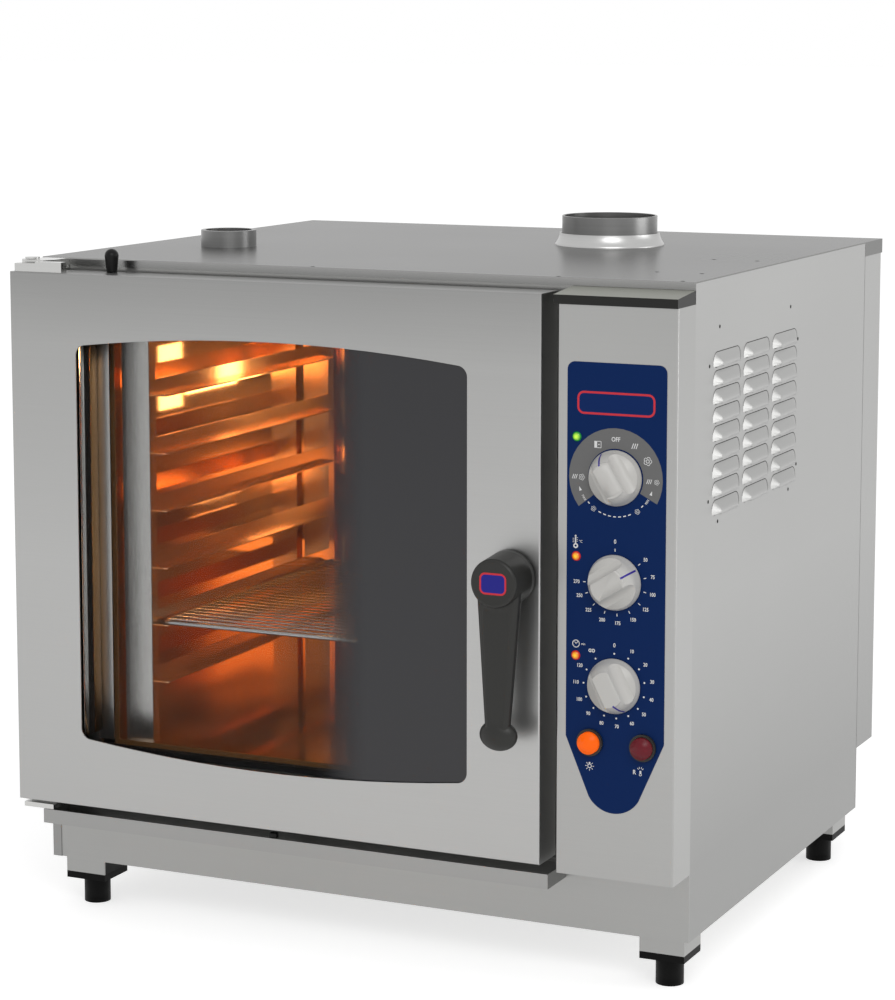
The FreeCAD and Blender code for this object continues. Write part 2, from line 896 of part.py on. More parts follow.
def make_cavity():
    wall, thickness = size.cavity_wall, size.insulation_thickness
    drain_x = cavity_left_middle()

    def through(name, x, y, z, radius, depth, along="z"):
        return rod(name, (x, y, z), radius, depth, along)

    shell = five_walls(
        "shell", ((size.cavity_left, cavity_front, cavity_z), (cavity_right, cavity_back, cavity_top)), wall,
        {
            "right": [
                latch_room("shell_latch_room"),
                through("shell_shaft_hole", cavity_right - wall, size.fan_back, fan_z,
                        size.shaft_diameter, wall * 3, "x"),
                through("shell_water_hole", cavity_right - wall, water_y, fan_z, size.water_pipe / 2, wall * 3, "x"),
            ],
            "ceiling": [
                through("shell_flue_hole", riser_x, riser_y, cavity_top - wall, size.heater_riser, wall * 3),
                through("shell_vent_hole", size.vent_side, size.vent_back, cavity_top - wall, vent_bore, wall * 3),
            ] + [
                through(f"shell_lamp_hole_{number}", lamp_x(number), size.lamp_back, cavity_top - wall,
                        size.lamp_radius, wall * 3)
                for number in (0, 1)
            ],
            "floor": [through("shell_drain_hole", drain_x, drain_y, cavity_z - wall * 2, drain_bore, wall * 3)],
        },
    )
    keep(shell, "cavity_shell")

    wool = five_walls(
        "wool", ((size.cavity_left - wall, cavity_front, cavity_z - wall), (shell_right, cavity_back + wall, shell_top)),
        thickness,
        {
            "right": [
                latch_room("wool_latch_room"),
                through("wool_motor_hole", shell_right, size.fan_back, fan_z, size.motor_nose_radius, thickness, "x"),
                through("wool_water_hole", shell_right, water_y, fan_z, size.water_pipe / 2, thickness, "x"),
            ],
            "ceiling": [
                through("wool_flue_hole", riser_x, riser_y, shell_top, size.heater_riser, thickness),
                through("wool_vent_hole", size.vent_side, size.vent_back, shell_top, size.vent_diameter / 2, thickness),
            ] + [
                through(f"wool_lamp_hole_{number}", lamp_x(number), size.lamp_back, shell_top,
                        size.lamp_radius, thickness)
                for number in (0, 1)
            ],
            "floor": [
                through("wool_drain_hole", drain_x, drain_y, cavity_z - wall - thickness,
                        size.drain_diameter / 2, thickness),
            ],
        },
    )
    keep(wool, "cavity_insulation")


def lamp_x(number):
    """Two lamps in the cavity's ceiling, side by side above the trays."""
    return tray_left + (size.tray_width - size.lamp_pitch) / 2 + size.lamp_pitch * number


def make_front_frame():
    """The flat front of the casing round the doorway, with the slot that the latch enters."""
    plate = box(
        "frame_plate", (size.return_flange, ZERO, plinth_z), (control_left, cavity_front, cover_z),
    )
    doorway = box(
        "frame_doorway", (size.cavity_left, -gauge, cavity_z),
        (cavity_right, cavity_front + gauge, cavity_top),
    )
    slot = box(
        "frame_latch_slot",
        (handle_x - size.keeper_width / 2, -gauge, handle_z - size.latch_length),
        (handle_x + size.keeper_width / 2, cavity_front + gauge, handle_z + size.latch_length),
    )
    keep(cut("cavity_front_frame", plate, doorway, slot), "cavity_front_frame")


def make_gasket():
    """A rubber frame round the doorway that the closed door presses on."""
    inner, width = size.gasket_margin, size.gasket_width
    body = new_body("door_gasket")
    sketch = new_sketch(body, "gasket_ring", "XZ")
    for grow in (inner + width, inner):
        draw_rectangle(
            sketch, size.cavity_left - grow, cavity_z - grow, cavity_right + grow, cavity_top + grow,
        )
    pad(body, sketch, size.door_gap - size.hinge_clearance)
    keep(body, "door_gasket")


def rack(side, x, inward, wall_x):
    """Two upright channels joined by angle rails, hung on pegs.

    x is the rack's wall side, inward points at the trays, and wall_x is what carries the pegs.
    """
    far = x + size.post_width * inward
    low, high = sorted((x, far), key=lambda amount: amount.value)
    posts = []
    for name, y in (("front", size.front_post_back), ("rear", size.rear_post_back)):
        outside = box(f"{side}_{name}_post_outside", (low, y, cavity_z), (high, y + size.post_depth, rack_top))
        hollow = box(
            f"{side}_{name}_post_hollow", (low + size.post_wall, y + size.post_wall, cavity_z),
            (high - size.post_wall, y + size.post_depth, rack_top),
        )
        peg = rod(
            f"{side}_{name}_hook", (wall_x if inward > 0 else x, y + size.post_depth / 2, rack_top - size.hook_drop),
            size.hook_diameter / 2, size.hook_diameter, "x",
        )
        bind(peg, "Height", (x - wall_x) * inward)
        posts += [cut(f"{side}_{name}_post", outside, hollow), peg]
    rails = []
    start = size.front_post_back + size.post_depth
    web = far - size.rail_gauge * inward
    ledge = far + size.rail_ledge * inward
    for level in range(rail_levels):
        z = rail_z(level)
        body = new_body(f"{side}_rail_{level}")
        section = new_sketch(body, f"{side}_rail_section_{level}", "XZ", -size.rear_post_back)
        draw_outline(section, [
            (web, z), (ledge, z), (ledge, z + size.rail_gauge), (far, z + size.rail_gauge),
            (far, z + size.rail_face), (web, z + size.rail_face),
        ])
        pad(body, section, size.rear_post_back - start)
        rails.append(body)
    return keep(group(f"{side}_rack", *posts, *rails), f"{side}_rack")




def make_racks():
    rack("left", rack_left, 1, size.cavity_left)
    rack("right", rack_right, -1, baffle_x)


def make_shelf():
    """A wire grid that rests on one pair of rails."""
    rim, wire = size.rim_wire / 2, size.shelf_wire / 2
    z = rail_z(SIZES["shelf_level"]) + size.rail_gauge + rim
    left, right = tray_left + rim, tray_right - rim
    front = size.front_post_back + size.post_depth + rim
    length = size.rear_post_back - size.front_post_back - size.post_depth - size.rim_wire
    corner = size.rim_wire * 2
    middle, back = (left + right) / 2, front + length
    rods = [
        pipe(f"shelf_{name}_rim", [(middle, front, z), (side, front, z), (side, back, z), (middle, back, z)], rim, corner)
        for name, side in (("left", left), ("right", right))
    ]
    pitch = length / (size.shelf_wire_count + 1)
    for number in range(1, SIZES["shelf_wire_count"] + 1):
        rods.append(rod(
            f"shelf_wire_{number}", (left, front + pitch * number, z + wire / 2), wire, right - left, "x",
        ))
    rods.append(rod("shelf_middle_bar", (middle, front, z - wire), wire * 1.5, length, "y"))
    keep(join("wire_shelf", *rods), "wire_shelf")


def make_lamps():
    housings, glasses, bulbs = [], [], []
    for number in (0, 1):
        x, y = lamp_x(number), size.lamp_back
        rim, radius = size.lamp_rim, size.lamp_radius
        flange = rod(f"lamp_rim_{number}", (x, y, cavity_top - gauge), radius + rim, gauge)
        cup = rod(f"lamp_cup_{number}", (x, y, cavity_top - gauge), radius, size.lamp_depth - gauge)
        hollow = rod(f"lamp_hollow_{number}", (x, y, cavity_top - gauge), radius - gauge, size.lamp_depth - gauge * 2)
        housings.append(cut(f"lamp_housing_{number}", join(f"lamp_shape_{number}", flange, cup), hollow))
        glasses.append(rod(f"lamp_glass_{number}", (x, y, cavity_top - gauge), radius - gauge, size.lamp_glass))
        bulbs.append(rod(
            f"lamp_bulb_{number}", (x, y, cavity_top + size.lamp_glass + gauge),
            size.lamp_bulb, size.lamp_depth - size.lamp_glass - gauge * 4,
        ))
    keep(group("lamp_housings", *housings), "lamp_housings")
    keep(group("lamp_glasses", *glasses), "lamp_glasses")
    keep(group("lamp_bulbs", *bulbs), "lamp_bulbs")


# ---------------------------------------------------------------- fan, heat and water

def make_baffle():
    """The pan in front of the fan, with a ring of slots that the fan draws through."""
    front = cavity_front + size.baffle_end_gap - size.fan_back
    back = cavity_back - size.baffle_end_gap - size.fan_back
    low, high = cavity_z - fan_z, cavity_top - fan_z
    body = new_body("fan_baffle")
    plate = new_sketch(body, "baffle_plate", "YZ")
    draw_rectangle(plate, front, low, back, high)
    pad(body, plate, size.baffle_gauge)
    rims = new_sketch(body, "baffle_rims", "YZ", size.baffle_gauge)
    for y in (front, back - size.baffle_gauge):
        draw_rectangle(rims, y, low, y + size.baffle_gauge, high)
    pad(body, rims, size.baffle_rim)
    slot = new_sketch(body, "intake_slot", "YZ", size.baffle_gauge)
    side = size.intake_slot_width / 2
    draw_outline(slot, [
        (-side / 2, size.intake_hub), (side / 2, size.intake_hub),
        (side, size.intake_radius), (-side, size.intake_radius, side * 1.2, 1),
    ])
    first = pocket(body, slot, size.baffle_gauge * 2)
    doc.recompute()
    repeat(body, "PolarPattern", "intake_slots", [first], (slot, ["N_Axis"]), 360, size.intake_slots)
    keep(body, "fan_baffle", (baffle_x, size.fan_back, fan_z))


def make_fan():
    motor_x = wool_right
    nose = rod("motor_nose", (shell_right, size.fan_back, fan_z), size.motor_nose_radius, motor_x - shell_right, "x")
    can = rod("motor_can", (motor_x, size.fan_back, fan_z), size.motor_radius, size.motor_length, "x")
    bore = rod(
        "motor_bore", (shell_right, size.fan_back, fan_z),
        size.shaft_diameter / 2 + size.running_clearance,
        motor_x - shell_right + size.motor_shaft_depth, "x",
    )
    keep(cut("fan_motor", join("motor_shape", nose, can), bore), "fan_motor")

    start = impeller_x - size.impeller_plate * 2
    shaft = rod(
        "fan_shaft", (start, size.fan_back, fan_z), size.shaft_diameter / 2,
        motor_x + size.motor_shaft_depth - size.hinge_clearance - start, "x",
    )
    keep(shaft, "fan_shaft")

    body = new_body("fan_impeller")
    disc = new_sketch(body, "impeller_disc", "YZ", size.impeller_width - size.impeller_plate)
    draw_circle(disc, ZERO, ZERO, size.impeller_radius)
    draw_circle(disc, ZERO, ZERO, size.shaft_diameter / 2 + size.running_clearance)
    pad(body, disc, size.impeller_plate)
    hub = new_sketch(body, "impeller_hub", "YZ")
    draw_circle(hub, ZERO, ZERO, size.impeller_hub_radius)
    draw_circle(hub, ZERO, ZERO, size.shaft_diameter / 2 + size.running_clearance)
    pad(body, hub, size.impeller_width - size.impeller_plate)
    blade = new_sketch(body, "impeller_blade", "YZ")
    tilt = math.radians(SIZES["blade_angle"])
    outer, inner = size.impeller_radius - size.impeller_plate, size.impeller_radius - size.blade_length
    draw_outline(blade, [
        (inner * math.sin(tilt), inner * math.cos(tilt)),
        (inner * math.sin(tilt) + size.blade_thickness, inner * math.cos(tilt)),
        (size.blade_thickness, outer, size.blade_length * 1.6, 1),
        (ZERO, outer),
    ])
    first = pad(body, blade, size.impeller_width - size.impeller_plate)
    doc.recompute()
    repeat(body, "PolarPattern", "impeller_blades", [first], (blade, ["N_Axis"]), 360, size.impeller_blades)
    keep(body, "fan_impeller", (impeller_x, size.fan_back, fan_z))


def make_heat_exchanger():
    """Two welded rings round the fan that feed one riser to the flue."""
    parts = []
    for number in (0, 1):
        ring_tube = doc.addObject("Part::Torus", f"heater_ring_{number}")
        ring_tube.Placement.Rotation = TURNS["x"]
        bind(ring_tube, "Radius1", size.heater_radius)
        bind(ring_tube, "Radius2", size.heater_tube)
        place(ring_tube, impeller_x + size.heater_tube + size.heater_pitch * number, size.fan_back, fan_z)
        parts.append(ring_tube)
    parts.append(rod("heater_riser", (riser_x, riser_y, fan_z), size.heater_riser, wool_top - fan_z))
    keep(join("heat_exchanger", *parts), "heat_exchanger")


def lock_nut(name, x, z, diameter):
    """The ring that clamps a connection to the outside of the service panel."""
    return ring(
        f"{name}_lock_nut", (x, size.side_depth, z), diameter / 2 + size.lock_nut_rim,
        diameter / 2 - gauge, size.lock_nut_length, "y",
    )


def spigot(name, x, z, diameter, length):
    """A hollow connection that starts behind the service panel and ends outside it."""
    tube = ring(
        f"{name}_spigot", (x, size.side_depth - gauge, z), diameter / 2, diameter / 2 - gauge * 2,
        length, "y",
    )
    return tube, lock_nut(name, x, z, diameter)


def make_services():
    back = size.side_depth
    points = {name: (x, z) for name, x, z, _ in service_points()}
    inlet_x, inlet_z = points["water"]
    half = size.valve_width / 2
    valve_y = back - gauge
    valve = box(
        "valve_block", (inlet_x - half, valve_y - size.valve_width, inlet_z - half),
        (inlet_x + half, valve_y, inlet_z + half),
    )
    coil = rod(
        "valve_coil", (inlet_x + half / 4, valve_y - half, inlet_z + half), half / 2,
        size.valve_height - size.valve_width,
    )
    inlet = spigot("water", inlet_x, inlet_z, size.water_spigot, size.water_spigot_length)
    keep(join("water_valve", valve, coil, *inlet), "water_valve")

    pipe_x = inlet_x - half - size.water_pipe
    water = pipe("steam_pipe", [
        (inlet_x - half, valve_y - half, inlet_z),
        (pipe_x - size.water_pipe_bend, valve_y - half, inlet_z),
        (pipe_x - size.water_pipe_bend, valve_y - half, fan_z),
        (pipe_x - size.water_pipe_bend, water_y, fan_z),
        (water_pipe_end_x, water_y, fan_z),
        (water_pipe_end_x, size.fan_back + size.shaft_diameter, fan_z),
    ], size.water_pipe / 2, size.water_pipe_bend)
    keep(water, "steam_pipe")

    drain_x = cavity_left_middle()
    drain_z = base_z + size.drain_up
    drain = pipe("drain_run", [
        (drain_x, drain_y, cavity_z - size.cavity_wall),
        (drain_x, drain_y, drain_z),
        (drain_x, back + size.drain_reach, drain_z),
    ], size.drain_diameter / 2, size.drain_bend, size.drain_wall)
    keep(join("drain_pipe", drain, lock_nut("drain", drain_x, drain_z, size.drain_diameter)), "drain_pipe")

    gas_x, gas_z = points["gas"]
    block = box(
        "gas_block", (gas_x - size.valve_height, back - gauge - size.valve_height, gas_z - half),
        (gas_x + size.valve_width, back - gauge, gas_z + half),
    )
    inlet = spigot("gas", gas_x, gas_z, size.gas_spigot, size.gas_spigot_length)
    keep(join("gas_valve", block, *inlet), "gas_valve")

    cable_x, cable_z = points["cable"]
    neck = size.gland_outer / 2 - gland_shoulder
    collar = rod("gland_collar", (cable_x, back, cable_z), size.gland_outer / 2, size.gland_reach, "y")
    inside = rod("gland_neck", (cable_x, back - gauge - gland_shoulder, cable_z), neck, gauge + gland_shoulder, "y")
    bore = rod(
        "gland_bore", (cable_x, back - size.gland_reach, cable_z), size.gland_bore / 2,
        size.gland_reach * 2, "y",
    )
    keep(cut("cable_gland", join("gland_shape", collar, inside), bore), "cable_gland")


water_pipe_end_x = baffle_x + size.baffle_gauge + size.water_pipe / 2 + 1


# ---------------------------------------------------------------- flue and vent

def make_flue():
    radius = size.flue_diameter / 2
    neck = radius - size.flue_neck
    bore = neck - size.flue_wall
    step = top_z + size.collar_height
    centre = (flue_x, flue_y)
    tube = ring("flue_neck_tube", (*centre, wool_top), neck, bore, step - wool_top)
    spigot = ring("flue_spigot", (*centre, step), radius, bore, top_z + size.flue_height - step)
    keep(join("flue_tube", tube, spigot), "flue_tube")
    body = new_body("flue_collar")
    profile = new_sketch(body, "collar_profile", "XZ")
    foot, crest = radius + size.collar_foot, radius + size.collar_foot / 3
    draw_outline(profile, [
        (neck, ZERO), (foot, ZERO), (foot, gauge),
        (crest, size.collar_height, size.collar_height * 1.6, -1),
        (radius + size.collar_gap, size.collar_height), (radius + size.collar_gap, gauge), (neck, gauge),
    ])
    revolve(body, profile)
    keep(body, "flue_collar", (flue_x, flue_y, top_z))

    radius = size.vent_diameter / 2
    bore = radius - size.vent_wall
    tube = ring(
        "vent_pipe", (size.vent_side, size.vent_back, shell_top), radius, bore,
        top_z + size.vent_height - shell_top,
    )
    bead = ring(
        "vent_bead", (size.vent_side, size.vent_back, top_z), radius + size.vent_ring, bore,
        size.vent_ring_height,
    )
    keep(join("vent_tube", tube, bead), "vent_tube")


# ---------------------------------------------------------------- door

def window_outline(sketch, grow):
    """Upright sides with a shallow arch above and below, like the side of a barrel."""
    left, right = window_left - grow, window_right + grow
    low, high = window_z - grow, window_top + grow
    half = (right - left) / 2
    radius = (half * half + size.window_arch * size.window_arch) / (size.window_arch * 2)
    draw_outline(sketch, [
        (left, low), (right, low, radius, 1), (right, high), (left, high, radius, 1),
    ])


def upright_corner(edge, middle):
    """True for the short edges that run through a sheet at the window's corners."""
    return (
        edge.Length < size.glass_thickness.value * 3
        and min(abs(middle.x - window_left.value), abs(middle.x - window_right.value)) < 0.01
        and min(abs(middle.z - window_z.value), abs(middle.z - window_top.value)) < 0.01
    )


def make_door():
    skin_depth = size.door_thickness - size.liner_depth
    body = new_body("door_skin")
    outside = new_sketch(body, "skin_outside", "XZ", -liner_front)
    draw_rectangle(outside, door_left, door_z, door_right, door_top)
    pad(body, outside, skin_depth)
    round_edges(
        body, "skin_bends", size.bend_radius,
        lambda edge, middle: abs(middle.y - door_front.value) < 0.01,
    )
    inside = new_sketch(body, "skin_inside", "XZ", -liner_front)
    draw_rectangle(inside, door_left + gauge, door_z + gauge, door_right - gauge, door_top - gauge)
    pocket(body, inside, skin_depth - gauge, True)
    window = new_sketch(body, "skin_window", "XZ", -door_front)
    window_outline(window, ZERO)
    pocket(body, window, gauge * 3)
    round_edges(body, "window_corners", size.window_corner, upright_corner)
    shaft_hole = new_sketch(body, "skin_shaft_hole", "XZ", -door_front)
    draw_circle(shaft_hole, handle_x, handle_z, latch_bore)
    pocket(body, shaft_hole, gauge * 3)
    keep(body, "door_skin")

    inset, border = size.liner_inset, size.liner_border
    left, right = door_left + inset, door_right - inset
    low, high = door_z + inset, door_top - inset
    body = new_body("door_liner")
    outer = new_sketch(body, "liner_outside", "XZ", -door_back)
    draw_rectangle(outer, left, low, right, high)
    pad(body, outer, size.liner_depth)
    opening = new_sketch(body, "liner_opening", "XZ", -door_back)
    draw_rectangle(opening, liner_left, liner_low, liner_right, liner_high)
    pocket(body, opening, size.liner_depth * 2, True)
    channel = new_sketch(body, "liner_channel", "XZ", -liner_front)
    draw_rectangle(channel, left + gauge, low + gauge, right - gauge, high - gauge)
    draw_rectangle(channel, liner_left - gauge, liner_low - gauge, liner_right + gauge, liner_high + gauge)
    pocket(body, channel, size.liner_depth - gauge)
    shaft_hole = new_sketch(body, "liner_shaft_hole", "XZ", -door_back)
    draw_circle(shaft_hole, handle_x, handle_z, latch_bore)
    pocket(body, shaft_hole, gauge * 3, True)
    keep(body, "door_liner")

    seal, border = size.glass_seal, size.glass_border
    pane_front = door_front + gauge + seal
    pane = box(
        "outer_glass", (window_left - border, pane_front, window_z - border - size.window_arch),
        (window_right + border, pane_front + size.glass_thickness, window_top + border + size.window_arch),
    )
    keep(pane, "outer_glass")
    rim = box(
        "glass_seal_rim", (window_left - border, door_front + gauge, window_z - border - size.window_arch),
        (window_right + border, pane_front, window_top + border + size.window_arch),
    )
    body = new_body("glass_seal_opening")
    sketch = new_sketch(body, "seal_opening", "XZ", -door_front)
    window_outline(sketch, ZERO)
    pad(body, sketch, (gauge + seal) * 2, True)
    outer_seal = cut("outer_glass_seal", rim, body)

    width = size.inner_glass_seal
    seal_outside = box(
        "inner_seal_outside", (liner_left, liner_front, liner_low), (liner_right, door_back - gauge, liner_high),
    )
    seal_inside = box(
        "inner_seal_inside", (liner_left + width, liner_front - gauge, liner_low + width),
        (liner_right - width, door_back, liner_high - width),
    )
    pane_back = door_back - gauge - size.glass_thickness / 2
    slot = box(
        "inner_seal_slot",
        (liner_left + width / 2, pane_back - size.glass_thickness, liner_low + width / 2),
        (liner_right - width / 2, pane_back, liner_high - width / 2),
    )
    inner_seal = cut("inner_glass_seal", seal_outside, seal_inside, slot)
    keep(group("glass_seals", outer_seal, inner_seal), "glass_seals")
    keep(box(
        "inner_glass",
        (liner_left + width / 2, pane_back - size.glass_thickness, liner_low + width / 2),
        (liner_right - width / 2, pane_back, liner_high - width / 2),
    ), "inner_glass")

    body = new_body("door_peg")
    profile = new_sketch(body, "peg_profile", "XZ")
    radius = size.peg_diameter / 2
    shoulder = size.peg_height - radius
    draw_outline(profile, [
        (ZERO, ZERO), (radius * 0.75, ZERO), (radius, shoulder), (ZERO, size.peg_height, radius, 1),
    ])
    revolve(body, profile)
    keep(body, "door_peg", (size.peg_side, -size.peg_back, door_top))


liner_left = door_left + size.liner_inset + size.liner_border
liner_right = door_right - size.liner_inset - size.liner_border - size.handle_side
liner_low = door_z + size.liner_inset + size.liner_border
liner_high = door_top - size.liner_inset - size.liner_border
latch_bore = size.latch_shaft / 2 + size.running_clearance


def make_hinges():
    """Fixed arms with an eye at each end of the door, and the door's pins that turn in them."""
    gap, thick, tall = size.hinge_clearance, size.hinge_thickness, size.hinge_top_thickness
    pivot_x, pivot_y, eye = size.pivot_side, -size.pivot_back, size.eye_radius
    arms = []
    for end, low, height, root_y in (
        ("top", door_top + gap, tall, -gauge), ("bottom", door_z - gap - thick, thick, ZERO),
    ):
        body = new_body(f"{end}_hinge_arm")
        shape = new_sketch(body, f"{end}_arm_outline", "XY", low)
        draw_outline(shape, [
            (pivot_x, pivot_y - eye, eye, 1),
            (pivot_x + size.hinge_arm_width, pivot_y - eye + gap * 2),
            (size.hinge_root_right, -size.hinge_arm_waist),
            (size.hinge_root_right, root_y),
            (size.hinge_root_left, root_y),
            (pivot_x, pivot_y + eye),
            (pivot_x - eye, pivot_y, eye, 1),
        ])
        pad(body, shape, height)
        hole = new_sketch(body, f"{end}_arm_eye", "XY", low + height)
        draw_circle(hole, pivot_x, pivot_y, size.pivot_radius + size.running_clearance)
        pocket(body, hole, height * 2)
        arms.append(body)
    plate_x, plate_y = door_left + size.hinge_plate_side, door_front + size.hinge_plate_front
    foot = box(
        "bottom_hinge_foot", (plate_x, plate_y, door_z - size.hinge_foot_drop),
        (size.hinge_root_right, pivot_y - eye + gap * 4, door_z - size.hinge_foot_drop + size.hinge_foot_height),
    )
    keep(group("hinge_brackets", arms[0], join("bottom_hinge", arms[1], foot)), "hinge_brackets")

    top_pin = rod("top_hinge_pin", (pivot_x, pivot_y, door_top), size.pivot_radius, gap * 2 + tall)
    head = rod(
        "hinge_pin_head", (pivot_x, pivot_y, door_top + gap * 2 + tall),
        size.pivot_radius + size.pin_head * 2, size.pin_head,
    )
    low_pin = rod("bottom_hinge_pin", (pivot_x, pivot_y, door_z - gap * 2 - thick), size.pivot_radius, gap * 2 + thick)
    plate = box(
        "hinge_door_plate", (plate_x, plate_y, door_top),
        (plate_x + size.hinge_plate_length, plate_y + size.hinge_plate_depth, door_top + size.hinge_plate_height),
    )
    bar = box(
        "hinge_door_bar", (plate_x + size.hinge_plate_length, plate_y, door_top),
        (plate_x + size.hinge_plate_length + size.hinge_bar_length, plate_y + size.hinge_plate_depth,
         door_top + size.hinge_bar_height),
    )
    keep(
        group("door_hinge_pins", join("top_pin", top_pin, head), low_pin, join("hinge_plate", plate, bar)),
        "door_hinge_pins",
    )


# ---------------------------------------------------------------- handle and latch

def make_handle():
    """A round hub with a tapering lever that hangs from it and ends in a rounded grip."""
    body = new_body("handle_lever")
    radius, front_radius = size.hub_diameter / 2, size.hub_front_diameter / 2
    hub = new_sketch(body, "hub_profile", "XY")
    draw_outline(hub, [
        (ZERO, -size.hub_reach), (front_radius - size.hub_rim, -size.hub_reach),
        (front_radius, size.hub_rim - size.hub_reach, size.hub_rim, 1),
        (radius, -size.hub_neck), (ZERO, -size.hub_neck),
    ])
    revolve(body, hub)
    neck = new_sketch(body, "hub_neck", "XZ")
    draw_circle(neck, ZERO, ZERO, radius - size.hub_neck_inset)
    pad(body, neck, size.hub_neck)
    sections = []
    end_thick, setback = size.lever_end_thickness, size.lever_setback
    for name, drop, width, thick, back in (
        ("lever_root", ZERO, size.lever_root_width, size.lever_thickness, setback),
        ("lever_waist", size.lever_length / 2, size.lever_waist_width, (size.lever_thickness + end_thick) / 2,
         (setback + size.lever_end_setback) / 2),
        ("lever_tip", size.lever_length, size.lever_end_width, end_thick, size.lever_end_setback),
    ):
        section = new_sketch(body, name, "XY", -drop)
        half, deep = width / 2, thick / 2
        corner = deep - measure(0.5)
        centre = deep + back - size.hub_reach
        draw_outline(section, [
            (-half + corner, centre - deep, corner, 1), (half - corner, centre - deep),
            (half, centre - deep + corner, corner, 1), (half, centre + deep - corner),
            (half - corner, centre + deep, corner, 1), (-half + corner, centre + deep),
            (-half, centre + deep - corner, corner, 1), (-half, centre - deep + corner),
        ])
        sections.append(section)
    lever = body.newObject("PartDesign::AdditiveLoft", "lever")
    lever.Profile, lever.Sections = sections[0], sections[1:]
    grip = body.newObject("PartDesign::AdditiveEllipsoid", "lever_grip")
    level = next(item for item in body.Origin.OriginFeatures if item.Role == "XY_Plane")
    grip.AttachmentSupport, grip.MapMode = [(level, "")], "FlatFace"
    for side, amount in zip(("Radius1", "Radius2", "Radius3"), (size.grip_up, size.grip_across, size.grip_deep)):
        bind(grip, side, amount)
    bind(grip, "AttachmentOffset.Base.y", size.lever_end_setback + end_thick / 2 + size.grip_setback - size.hub_reach)
    bind(grip, "AttachmentOffset.Base.z", -size.lever_length - size.grip_up / 2)
    doc.recompute()
    keep(body, "handle_lever", (handle_x, door_front, handle_z))

    shaft = rod(
        "latch_shaft_rod", (handle_x, door_front, handle_z), size.latch_shaft / 2,
        size.door_thickness + size.hinge_clearance, "y",
    )
    half = size.latch_thickness / 2
    cam_start = door_back + size.hinge_clearance
    cam = box(
        "latch_cam_bar", (handle_x - half * 2, cam_start, handle_z - size.latch_length / 2),
        (handle_x + half * 2, cavity_front + size.latch_reach, handle_z + size.latch_length / 2),
    )
    keep(join("latch_shaft", shaft, cam), "latch_shaft")


def make_keeper():
    """Two cheeks behind the front frame that the latch enters and jams against when it is turned."""
    width, depth = size.keeper_width / 2, size.keeper_depth
    reach = size.latch_length
    plate_z = handle_z - reach - gauge * 2
    outside = box(
        "keeper_outside", (handle_x - width - gauge, cavity_front, plate_z),
        (handle_x + width + gauge, cavity_front + depth, handle_z + reach + gauge * 2),
    )
    inside = box(
        "keeper_inside", (handle_x - width, ZERO, plate_z + gauge * 2),
        (handle_x + width, cavity_front + depth - gauge, handle_z + reach),
    )
    keep(cut("latch_keeper", outside, inside), "latch_keeper")


# ---------------------------------------------------------------- control box

def control_holes(prefix, start_y, reach):
    """The holes that the spindles, pilot lamps and push buttons pass through."""
    holes = [
        rod(f"{prefix}_spindle_hole_{number}", (knob_x, start_y, knob_z(number)), size.spindle_hole, reach, "y")
        for number in range(3)
    ]
    holes += [
        rod(f"{prefix}_pilot_hole_{number}", (pilot_x, start_y, z), size.pilot_diameter / 2, reach, "y")
        for number, z in enumerate(pilot_heights())
    ]
    holes += [
        rod(f"{prefix}_button_hole_{number}", (button_x(number), start_y, button_z),
            size.button_diameter / 2 + size.hinge_clearance * 2, reach, "y")
        for number in range(2)
    ]
    return holes


def knob_z(number):
    return panel_z + size.knob_top_up - size.knob_pitch * number


def pilot_heights():
    return [panel_z + up for up in (size.pilot_top_up, size.pilot_mid_up, size.pilot_low_up)]


def button_x(number):
    return control_left + size.button_side + size.button_pitch * number


pilot_x = control_left + size.pilot_side
button_z = panel_z + size.button_up


def make_control_box():
    body = new_body("control_box_shell")
    outside = new_sketch(body, "control_outside", "XY", plinth_z)
    draw_rectangle(outside, control_left, control_front, casing_right, ZERO)
    pad(body, outside, control_top - plinth_z)
    round_edges(
        body, "control_bends", size.bend_radius,
        lambda edge, middle: abs(middle.y - control_front.value) < 0.01
        and edge.Length > (control_top - plinth_z).value - 1,
    )
    inside = new_sketch(body, "control_inside", "XZ")
    draw_rectangle(inside, control_left + gauge, plinth_z + gauge, casing_right - gauge, control_top - gauge)
    pocket(body, inside, size.control_depth - gauge, True)
    holes = control_holes("control", control_front - gauge, gauge * 4)
    keep(cut("control_box", body, *holes), "control_box")

    cap = new_body("control_cap_wedge")
    section = new_sketch(cap, "cap_section", "YZ", control_left - size.cap_side_overhang)
    cap_front, cap_top = control_front - size.cap_overhang, control_top + size.cap_thickness
    draw_outline(section, [
        (cap_front, control_top), (-gauge, control_top), (-gauge, cap_top + size.cap_rise), (cap_front, cap_top),
    ])
    pad(cap, section, size.control_width + size.cap_side_overhang)
    keep(cap, "control_cap")

    left, right = control_left + size.overlay_side, control_left + size.overlay_side + size.overlay_width
    middle = control_left + size.knob_side
    half = size.overlay_waist_width / 2
    corner = size.overlay_corner
    top = panel_z + size.overlay_top
    shoulder, waist, foot = (panel_z + up for up in (size.overlay_shoulder, size.overlay_waist, size.overlay_foot))
    body = new_body("control_overlay_sheet")
    sketch = new_sketch(body, "overlay_outline", "XZ", -control_front)
    sag = waist - foot
    foot_radius = (half * half + sag * sag) / (sag * 2)
    draw_outline(sketch, [
        (left, top - corner, corner, 1), (left, shoulder), (middle - half, waist),
        (middle + half, waist, foot_radius, 1), (right, shoulder), (right, top - corner),
        (right - corner, top, corner, 1), (left + corner, top),
    ])
    pad(body, sketch, size.overlay_thickness)
    holes = control_holes("overlay", overlay_front - gauge, gauge * 4)
    keep(cut("control_overlay", body, *holes), "control_overlay")


